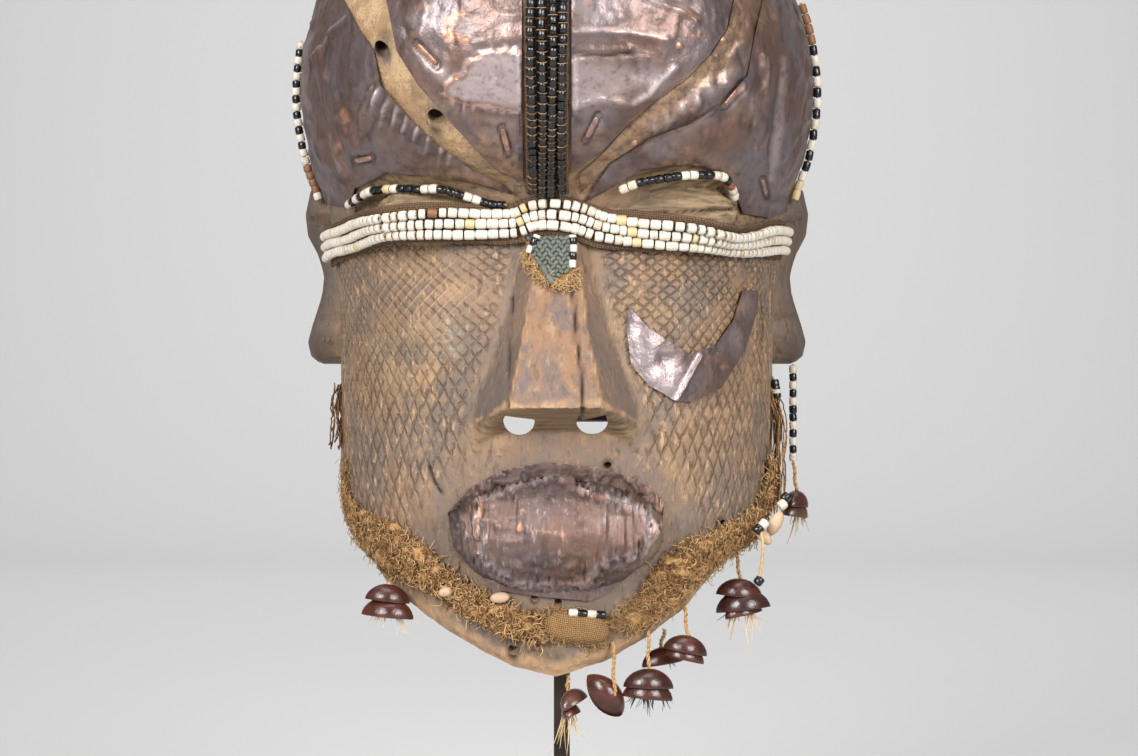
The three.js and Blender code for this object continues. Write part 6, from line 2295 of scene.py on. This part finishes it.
@dataclass
class ChinRoll:
    """The woven roll under the chin, and the four beads above it."""

    x: float = 9.5
    h: float = 23.5
    halves: tuple[float, float, float] = (15.5, 5.0, 7.4)

    def build(self, weave: bpy.types.Material, fibre: bpy.types.Material, maker: BeadMaker,
              glass: bpy.types.Material) -> None:
        """Builds the roll, its frayed ends and the beads."""
        run = face_run([(self.x - self.halves[0], self.h + 2.5), (self.x - 5, self.h + 0.6),
                        (self.x + 5, self.h - 0.4), (self.x + self.halves[0], self.h - 3.0)])
        alongs = np.linspace(0, run.length, 44)
        share = alongs / run.length * 2 - 1
        full = np.sqrt(np.clip(1 - np.abs(share) ** 3.5, 0.02, 1))
        turns = np.linspace(0, math.pi, 19)
        place = run.at(alongs)[0]
        lumps = 1 + 0.07 * Grain(4)(place[:, None] + np.cos(turns)[:, None] * 6, 7)
        across = np.cos(turns) * self.halves[2] * full[:, None] * lumps
        rise = GAP + np.sin(turns) ** 0.8 * self.halves[1] * full[:, None] * lumps
        fold = 0.9 * np.exp(-((turns - 2.55) / 0.12) ** 2)
        section = np.stack([across, np.maximum(rise - fold, GAP)], axis=-1)
        section = np.concatenate([section, section[:, [18, 9, 0]] * [1, 0] + [0, GAP]], axis=1)
        finished(swept("chin_cloth_roll_woven", run, alongs, section), weave, Slot.RAFFIA,
                 "chin_cloth_roll")
        lines, tints = Fuzz(31).curls(run, 420, 8.8, 2.4, 6.0)
        finished(strands("chin_roll_fibres", lines, 0.16, 3, tints), fibre, Slot.RAFFIA)
        beads = []
        for i, kind in enumerate(pattern("WKWK")):
            x = 8.0 + 4.35 * i
            middle = on_face(x, 31.0 - 0.35 * i, 2.3)
            beads.append(Bead(middle, np.array([1, 0.12, -0.08]), np.array([0, -1, 0]), 1.95, 4.1, kind))
        finished(maker.lay("chin_beads", beads, 6), glass, Slot.BLACK)


@dataclass(frozen=True)
class Shell:
    """How one half shell hangs from its twine."""

    lean: float
    spin: float
    drop: float
    size: float
    roll: float = 0.0


@dataclass(frozen=True)
class Rattle:
    """A rattle: half shells stacked at the end of a short twine, with tufts under them."""

    node: str
    start: tuple[float, float, float]
    twine: tuple[float, float, float]
    shells: tuple[Shell, ...]
    tufts: tuple[tuple[float, float, float, float], ...] = ()  # across, length, tint, spread

    @property
    def end(self) -> Array:
        """Gives the place where the twine meets the top shell."""
        across, forward, down = self.twine
        return np.array(self.start) + np.array([across, -forward, -down])


def hung_on_face(x: float, h: float) -> tuple[float, float, float]:
    """Gives the start of a twine on the face, from hundredths."""
    x, h = x * FORM.half_width / 100, h * FORM.height / 100
    return x, float(FORM.bare(x, h)) - 0.9 - 2 * GAP, h


def hung_under_rim(x: float, h: float) -> tuple[float, float, float]:
    """Gives the start of a twine under the rim, from hundredths."""
    x, h = x * FORM.half_width / 100, h * FORM.height / 100
    return x, float(FORM.bare(x, h)) + FORM.wall / 2, h


@dataclass
class Rattles:
    """All the seed-shell rattles."""

    length: float = 25.0
    width: float = 15.0
    height: float = 9.5
    wall: float = 1.1
    twine_radius: float = 0.9
    tuft_points: int = 8

    def all(self) -> tuple[Rattle, ...]:
        """Lists the rattles."""
        return (
            Rattle("rattle_jaw_left", hung_on_face(-61.6, 11.63), (-1.5, 9, 4),
                   (Shell(0.12, 0.1, 0, 0.85), Shell(0.1, -0.1, 6, 1)),
                   ((-5, 9, 0.9, 0.6), (0, 10, 0.85, 0.5), (5, 16, 0.95, 0.5), (3, 8, 0.2, 0.5))),
            Rattle("rattle_chin_left", hung_under_rim(4.4, 0.2), (0.1, 0, 7.8),
                   (Shell(-0.5, 0.9, 0, 0.75), Shell(-0.3, 1.3, 6, 0.6)),
                   ((-2, 17, 0.8, 0.35), (0, 14, 0.95, 0.5), (2, 12, 0.95, 0.5))),
            Rattle("rattle_chin_middle", hung_on_face(21.2, 4.25), (1, 2, 23),
                   (Shell(0.9, 0.1, 0, 1, 0.9),)),
            Rattle("rattle_chin_right", hung_on_face(34.4, 5.5), (0.6, 2, 18),
                   (Shell(0.05, 0.1, 0, 0.95), Shell(0.1, 0, 5, 0.95)),
                   ((-7, 9, 0.02, 0.5), (-2, 12, 0.03, 0.4), (0, 11, 0.02, 0.4), (7, 10, 0.03, 0.8))),
            Rattle("rattle_chin_back", hung_under_rim(40.8, 5.38), (-1.5, -9, 9.5),
                   (Shell(-0.15, 0.3, 0, 0.85),), ((5, 7, 0.05, 0.6),)),
            Rattle("rattle_jaw_middle", hung_on_face(48, 8.38), (2, 4, 14.5),
                   (Shell(0.2, 0.1, 0, 0.85), Shell(0.25, 0.1, 4.5, 0.75))),
            Rattle("rattle_jaw_right", hung_under_rim(68.8, 14.13), (2, 7, 12.5),
                   (Shell(0.1, 0.1, 0, 0.9), Shell(-0.12, 0, 5, 1.05), Shell(-0.2, 0.4, 10, 0.8)),
                   ((4, 16, 0.85, 0.9), (6, 14, 0.8, 0.8), (-3, 13, 0.8, 0.5), (-6, 8, 0.1, 0.8))),
            Rattle("rattle_side_right", (118, -2, 97.5), (2, 0, 14),
                   (Shell(0.1, 1.3, 0, 0.85), Shell(0.15, 1.2, 5, 0.85)),
                   ((0, 14, 0.8, 0.6), (2, 10, 0.6, 0.8))))

    def half_shell(self) -> tuple[Array, list[tuple[int, ...]]]:
        """Models one hollow half shell with pointed ends, its open side down."""
        bpy.ops.object.select_all(action="DESELECT")
        bpy.ops.mesh.primitive_uv_sphere_add(
            segments=24, ring_count=14, radius=1, rotation=(0, math.pi / 2, 0))
        shell = bpy.context.object
        bpy.ops.object.transform_apply(location=True, rotation=True, scale=True)
        bpy.ops.object.mode_set(mode="EDIT")
        bpy.ops.mesh.select_all(action="SELECT")
        bpy.ops.mesh.bisect(plane_co=(0, 0, 0), plane_no=(0, 0, 1), clear_inner=True)
        bpy.ops.mesh.select_all(action="SELECT")
        bpy.ops.mesh.remove_doubles(threshold=1e-4)
        bpy.ops.mesh.normals_make_consistent(inside=False)
        bpy.ops.object.mode_set(mode="OBJECT")
        for vertex in shell.data.vertices:
            x, y, z = vertex.co
            narrow = max(0.0, 1 - x * x)
            vertex.co = (x * self.length / 2, y * narrow ** 0.28 * self.width / 2,
                         z * narrow ** 0.06 * self.height - self.height)
        solid = shell.modifiers.new("wall", "SOLIDIFY")
        solid.thickness = self.wall
        solid.offset = -1
        select_only(shell)
        bpy.ops.object.modifier_apply(modifier="wall")
        bevelled(shell, 0.28, 2, 50)
        return taken(shell)

    def cord(self, start: Array, end: Array, radius: float) -> Array:
        """Draws two plies twisted round each other from one place to another."""
        length = float(np.linalg.norm(end - start))
        shares = np.linspace(0, 1, max(12, round(length * 1.6)))
        axis = unit(end - start)
        first = unit(np.cross(axis, [0.2, 1.0, 0.3]))
        second = np.cross(axis, first)
        turn = shares * length / 2.6 * math.pi
        middle = start + shares[:, None] * (end - start)
        middle = middle + first * (0.4 * np.sin(shares * 7))[:, None]
        swing = radius * 0.52 * (np.cos(turn)[:, None] * first + np.sin(turn)[:, None] * second)
        return np.stack([middle + swing, middle - swing])

    def shells(self, rattle: Rattle, template: Array, faces: list[tuple[int, ...]],
               random: np.random.RandomState) -> Object:
        """Hangs one rattle's shells one below another.

        Args:
            rattle: the rattle.
            template: the places of one plain shell.
            faces: its faces.
            random: gives each shell its shade.

        Returns:
            The shells in one piece.
        """
        places, all_faces, tints = [], [], []
        for shell in rattle.shells:
            turn = (Matrix.Rotation(shell.lean, 3, "Y") @ Matrix.Rotation(shell.spin, 3, "Z")
                    @ Matrix.Rotation(shell.roll, 3, "X"))
            hang = rattle.end + np.array([0, 0, self.twine_radius / 2 - shell.drop])
            start = sum(len(part) for part in places)
            places.append(template * shell.size @ np.array(turn).T + hang)
            all_faces += [tuple(i + start for i in face) for face in faces]
            tints.append(np.full(len(template), random.rand()))
        piece = new_piece(rattle.node + "_shells", np.vstack(places), all_faces)
        set_attribute(piece, "tint", np.concatenate(tints))
        smooth_below(piece, 40)
        return piece

    def tuft(self, rattle: Rattle, core: Array,
             random: np.random.RandomState) -> list[tuple[Array, float]]:
        """Draws the frayed strands under one rattle, each with its tint."""
        drawn = []
        shares = np.linspace(0, 1, self.tuft_points)[:, None]
        for across, length, tint, spread in rattle.tufts:
            for _ in range(7 if tint > 0.5 else 9):
                start = core + np.array([across * 0.6, 0, -1]) + random.normal(0, 0.7, 3)
                heading = np.array([across * 0.09, -0.1, -1.0]) + random.normal(0, spread * 0.3, 3)
                bend = random.normal(0, 0.32, 3)
                reach = length * random.uniform(0.6, 1.2)
                line = start + unit(heading) * shares * reach + bend * shares ** 2 * reach * 0.5
                drawn.append((line, tint * random.uniform(0.85, 1.0)))
        return drawn

    def build(self, seed_finish: bpy.types.Material, fibre: bpy.types.Material,
              straw: bpy.types.Material) -> None:
        """Builds the shells, the twines and the tufts."""
        template, faces = self.half_shell()
        random = np.random.RandomState(12)
        tufts = []
        for rattle in self.all():
            finished(self.shells(rattle, template, faces, random), seed_finish, Slot.SEED, rattle.node)
            core = rattle.end - [0, 0, rattle.shells[-1].drop + 2]
            lines = self.cord(np.array(rattle.start), rattle.end, self.twine_radius)
            finished(strands(rattle.node + "_twine", lines, 0.58, 6, np.array([0.55, 0.7])), fibre,
                     Slot.RAFFIA)
            knot = np.linspace(rattle.end, core, 6)[None]
            finished(strands(rattle.node + "_core", knot, 0.8, 6), fibre, Slot.RAFFIA)
            tufts += self.tuft(rattle, core, random)
        lines, tints = (np.array(part) for part in zip(*tufts))
        radius = np.linspace(1, 0.25, self.tuft_points) * random.uniform(0.28, 0.55, (len(tufts), 1))
        finished(strands("rattle_tufts", lines, radius, 4, tints), straw, Slot.RAFFIA)


@dataclass
class NosePendant:
    """The beaded tongue that hangs from the eye band on to the nose."""

    outline: tuple[Point, ...] = (
        (-14.3, 206), (-13.6, 198), (-10.6, 190), (-4, 183.5), (2, 182), (7.6, 187), (9.2, 194), (9.2, 206))
    thickness: float = 1.9
    bead_radius: float = 1.15
    bead_length: float = 2.7
    borders: tuple[tuple[Point, str], ...] = (
        ((-8.8, 205.8), "W"), ((-10.1, 203.4), "K"), ((-12.0, 199.8), "W"), ((7.7, 205.8), "W"),
        ((8.0, 203.6), "K"), ((8.2, 200.2), "W"), ((7.9, 196.6), "K"), ((7.7, 192.9), "W"))
    foot_beads: tuple[tuple[Point, float], ...] = (((-5.2, 189.6), -0.45), ((-2.6, 185.6), -0.5))
    frayed: tuple[Point, ...] = (
        (-13.4, 197.5), (-11.8, 192.5), (-7.5, 187), (-2, 183.2), (3, 181.5), (8, 184), (9.4, 189))

    def tongue(self) -> Object:
        """Makes the tongue, which bridges the edges of the nose."""
        xs, hs = np.meshgrid(np.linspace(-15, 10, 40), np.linspace(180, 207, 40))
        depth = FORM.face(xs, hs)
        for _ in range(6):
            depth = (depth + np.roll(depth, 1, 1) + np.roll(depth, -1, 1)) / 3
        tongue = plate("nose_pendant_tongue", np.stack([xs, depth - self.thickness, hs], axis=-1),
                       np.stack([xs, depth - GAP, hs], axis=-1))
        set_even(tongue, tint=0.3)
        cut(tongue, front_prism(list(self.outline), -300, 0), "INTERSECT")
        return tongue

    def bead(self, x: float, h: float, lean: float, size: tuple[float, float, float],
             kind: Glass) -> Bead:
        """Places one bead over the tongue.

        Args:
            x: its place across.
            h: its height.
            lean: how far it leans from upright.
            size: how far it stands out of the face, its radius and its length.
            kind: its glass.

        Returns:
            The bead.
        """
        lift, radius, length = size
        along = np.array([math.sin(lean), 0.0, math.cos(lean)])
        return Bead(on_face(x, h, lift), along, np.array([0, -1, 0]), radius, length, kind)

    def net(self) -> list[Bead]:
        """Lays rows of small green beads that lean to one side and the other in turn."""
        random = np.random.RandomState(9)
        inner = [(x * 0.86 - 0.4, 206 + (h - 206) * 0.84) for x, h in self.outline]
        beads = []
        for row in range(14):
            for column in range(-9, 9):
                x = -2.5 + (column + 0.5 * (row % 2)) * 2.5
                h = 205 - row * 1.95
                if not inside(np.array([x]), np.array([h]), inner)[0]:
                    continue
                lean = 0.75 if (row + column) % 2 else -0.75
                along = np.array([math.sin(lean), 0.05, math.cos(lean)])
                beads.append(Bead(on_face(x, h, 2.6), along, np.array([0, -1, 0]), self.bead_radius,
                                  self.bead_length * random.uniform(0.8, 1.0), Glass.GREEN))
        return beads

    def build(self, maker: BeadMaker, glass: bpy.types.Material, fibre: bpy.types.Material) -> None:
        """Builds the tongue, its net of beads, the bead borders and the frayed edge.

        Args:
            maker: lays the beads.
            glass: the beads' finish.
            fibre: the tongue's finish.
        """
        finished(self.tongue(), fibre, Slot.RAFFIA, "nose_pendant")
        beads = self.net()
        for (x, h), kind in self.borders:
            length = 1.6 if h > 204.5 else 3.5
            beads.append(self.bead(x, h, 0.35 if x < 0 else 0.0, (3.3, 1.9, length), pattern(kind)[0]))
        for (x, h), lean in self.foot_beads:
            beads.append(self.bead(x, h, lean, (3.2, 1.6, 4.2), Glass.GREEN))
        finished(maker.lay("nose_pendant_beads", beads, 2), glass, Slot.GREEN)
        lines, tints = Fuzz(44, 7).curls(face_run(self.frayed), 420, 2.4, 3.4, 4.2)
        finished(strands("nose_pendant_fray", lines, 0.2, 3, 0.6 + 0.4 * tints), fibre, Slot.RAFFIA)


@dataclass
class Trim:
    """Staples, nails and stray shells."""

    nails: tuple[tuple[float, float, float], ...] = (
        (55.7, 291.7, 1.9), (73.1, 288, 1.3), (35.9, 248.8, 1.9), (42.5, 72.0, 1.4), (31.0, 52.5, 1.4))

    def sheet_frame(self, x: float, h: float) -> tuple[Array, Array]:
        """Gives the place on the copper and its outward direction, in front view."""
        step = 1.0

        def depth(x: float, h: float) -> float:
            """Gives the face's depth at one place."""
            return float(FORM.face(np.array(x), np.array(h)))

        out = unit(np.array([(depth(x + step, h) - depth(x - step, h)) / (2 * step), -1,
                             (depth(x, h + step) - depth(x, h - step)) / (2 * step)]))
        return np.array([x, depth(x, h), h]) + out * (GAP + SHEET), out

    def pressed(self, kind: str, middle: Array, along: Array, out: Array, size: Sequence[float]) -> Object:
        """Models one staple or nail head from a bevelled block or dome.

        Args:
            kind: staple or nail.
            middle: its place.
            along: the direction of its length.
            out: the outward direction.
            size: its length, width and height.

        Returns:
            The fastener.
        """
        bpy.ops.object.select_all(action="DESELECT")
        if kind == "staple":
            bpy.ops.mesh.primitive_cube_add(size=1)
        else:
            bpy.ops.mesh.primitive_uv_sphere_add(segments=12, ring_count=8, radius=0.5)
        piece = bpy.context.object
        if kind == "staple":
            bevelled(piece, 0.28, 3)
        rows = np.stack([along * size[0], np.cross(out, along) * size[1], out * size[2]])
        places, faces = taken(piece)
        return new_piece(kind, places @ rows + middle, faces)

    def build(self, copper: bpy.types.Material, shell: bpy.types.Material) -> None:
        """Builds the fasteners and the stray shells."""
        pieces = []
        for (x0, h0), (x1, h1) in STAPLES:
            middle, out = self.sheet_frame((x0 + x1) / 2, (h0 + h1) / 2)
            start, end = (self.sheet_frame(x, h)[0] for x, h in ((x0, h0), (x1, h1)))
            along = unit((end - start) - out * np.dot(end - start, out))
            pieces.append(self.pressed("staple", middle + out * 0.1, along, out,
                                       (float(np.linalg.norm(end - start)) * 0.9, 2.6, 1.5)))
        for x, h, radius in self.nails:
            middle, out = self.sheet_frame(x, h)
            along = unit(np.cross(out, [1.0, 0.1, 0.0]))
            pieces.append(self.pressed("nail", middle, along, out, (2 * radius, 2 * radius, 1.6)))
        piece = joined("copper_fasteners", pieces)
        # a faint painted highlight and rubbed orange on every fastener
        set_even(piece, burnish=0.15, glow=0.5, tan=0.0, soot=0.0, dull=0.0)
        finished(piece, copper, Slot.COPPER)
        shells = []
        for x, h, size, lean in ((-50.7, 40.4, 9.0, 0.3), (-26, 38, 9.5, 0.1), (98.5, 65.0, 11.0, -0.9),
                                 (104.5, 70.5, 13.0, 1.1)):
            place = on_face(x, h, 3.4) if x < 90 else np.array([x, -78.0 + 0.9 * (x - 98.5), h])
            out = np.array([0.0, -1, 0]) if x < 90 else unit(np.array([0.5, -0.85, 0]))
            along = unit(np.array([math.cos(lean), 0, math.sin(lean)]))
            shells.append(self.pressed("shell", place, along, out, (size, size * 0.55, size * 0.45)))
        piece = joined("jaw_shells", shells)
        set_even(piece, tint=0.95)
        finished(piece, shell, Slot.SEED)


# The stand and the studio


class Stand:
    """The base plate, the post and what holds the mask on it."""

    nodes = ("stand_base", "stand_post", "stand_crown_pad", "stand_prong_left", "stand_prong_right")

    def dress(self, material: bpy.types.Material) -> None:
        """Gives the stand's own pieces their finish."""
        for name in self.nodes:
            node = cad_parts[name]
            node.data.materials.clear()
            node.data.materials.append(material)


@dataclass(frozen=True)
class Lamp:
    """One soft square light."""

    place: tuple[float, float, float]
    aim: tuple[float, float, float]
    size: float
    power: float


@dataclass
class Studio:
    """A pale floor, a grey backdrop, soft lights and the camera."""

    camera_place: tuple[float, float, float] = (0.0061, -1.6, 0.25)
    lens: float = 101.2
    sensor_width: float = 36.0
    far_end: float = 20.0
    backdrop: tuple[float, float, float] = (0.515, 0.51, 0.508)
    floor_start: float = -4.5
    backdrop_depth: float = 3.9
    backdrop_top: float = 4.5
    bend: float = 1.1
    half_width: float = 5.0
    sky: tuple[float, float, float, float] = (0.95, 0.96, 1.0, 1.0)
    sky_strength: float = 0.26
    lamps: tuple[Lamp, ...] = (
        Lamp((-0.95, -1.6, 0.95), (0, 0, 0.3), 0.75, 43),
        Lamp((1.05, -1.5, 0.8), (0, 0, 0.3), 0.75, 33),
        Lamp((0.0, -0.6, 2.0), (0, 0, 0.3), 1.2, 20),
        Lamp((0.0, 0.6, 1.6), (0, 1.9, 0.4), 1.6, 12),
        Lamp((0.0, 2.2, 2.7), (0, 3.9, 1.0), 2.0, 63))

    def camera(self) -> None:
        """Sets up the camera level with the bridge of the nose."""
        bpy.ops.object.camera_add(location=self.camera_place, rotation=(math.pi / 2, 0, 0))
        camera = bpy.context.object
        camera.data.lens = self.lens
        camera.data.sensor_width = self.sensor_width
        camera.data.clip_end = self.far_end
        bpy.context.scene.camera = camera

    def sweep(self) -> None:
        """Makes the floor and the backdrop in one smooth sweep."""
        bend, middle = self.bend, self.backdrop_depth - self.bend
        profile = [(self.floor_start, 0.0), (middle, 0.0)]
        profile += [(middle + bend * math.sin(t), bend - bend * math.cos(t))
                    for t in np.linspace(0.1, 0.5 * math.pi, 14)]
        profile.append((self.backdrop_depth, self.backdrop_top))
        places = [(side * self.half_width, y, z) for y, z in profile for side in (-1, 1)]
        faces = [(2 * i, 2 * i + 1, 2 * i + 3, 2 * i + 2) for i in range(len(profile) - 1)]
        mesh = bpy.data.meshes.new("backdrop")
        mesh.from_pydata(places, [], faces)
        mesh.polygons.foreach_set("use_smooth", [True] * len(faces))
        backdrop = bpy.data.objects.new("backdrop", mesh)
        bpy.context.scene.collection.objects.link(backdrop)
        finish = Finish("backdrop", roughness=0.95, specular=0.1)
        finish.colour(self.backdrop)
        mesh.materials.append(finish.material)

    def lights(self) -> None:
        """Lights the object from both sides and above, and the backdrop from ahead of it."""
        for lamp in self.lamps:
            turn = (Vector(lamp.aim) - Vector(lamp.place)).to_track_quat("-Z", "Y").to_euler()
            bpy.ops.object.light_add(type="AREA", location=lamp.place, rotation=turn)
            light = bpy.context.object.data
            light.size = lamp.size
            light.energy = lamp.power
        world = bpy.data.worlds.new("studio")
        world.use_nodes = True
        sky = world.node_tree.nodes["Background"].inputs
        sky["Color"].default_value = self.sky
        sky["Strength"].default_value = self.sky_strength
        bpy.context.scene.world = world
        bpy.context.scene.view_settings.view_transform = "Standard"


def main() -> None:
    """Builds the scene."""
    logging.basicConfig(level=logging.INFO, format="%(name)s %(message)s")
    bpy.ops.object.select_all(action="DESELECT")
    studio = Studio()
    studio.camera()
    wood = CarvedWood().build()
    copper = BeatenCopper().build()
    Helmet().build(wood)
    CopperSheets().build(copper)
    glass = BeadGlass().build()
    fibre = RaffiaFibre().build()
    cloth = WovenCloth("brown_cloth", 1.1, (0.045, 0.028, 0.018), (0.150, 0.090, 0.050)).build()
    sacking = WovenCloth("sacking", 0.95, (0.100, 0.050, 0.020), (0.330, 0.190, 0.082)).build()
    seed = PolishedSeed().build()
    maker = BeadMaker()
    EyeBand().build(maker, glass, cloth)
    CrownBand().build(maker, glass, cloth, fibre)
    Strings().build(maker, glass, fibre)
    NosePendant().build(maker, glass, fibre)
    for edge in (
            RaffiaEdge("raffia_edge_left", (
                (-82, 24.8), (-80.8, 20.4), (-74.4, 17.2), (-60.8, 14.6), (-47, 12.2), (-33.6, 9.4),
                (-17, 6.6), (-3.6, 5.6)), clump=0.45, thin_start=0.22, seed=21),
            RaffiaEdge("raffia_edge_right", (
                (22.5, 5.8), (33.6, 8.2), (46.4, 12.4), (60, 15), (74.4, 17.2), (81, 20.5), (83, 24.8)),
                clump=0.3, thin_start=0.05, seed=22)):
        edge.build(fibre)
    ChinRoll().build(sacking, fibre, maker, glass)
    Rattles().build(seed, fibre, Straw().build())
    Trim().build(copper, seed)
    Stand().dress(BrownedSteel().build())
    studio.sweep()
    studio.lights()


if __name__ == "__main__":
    main()
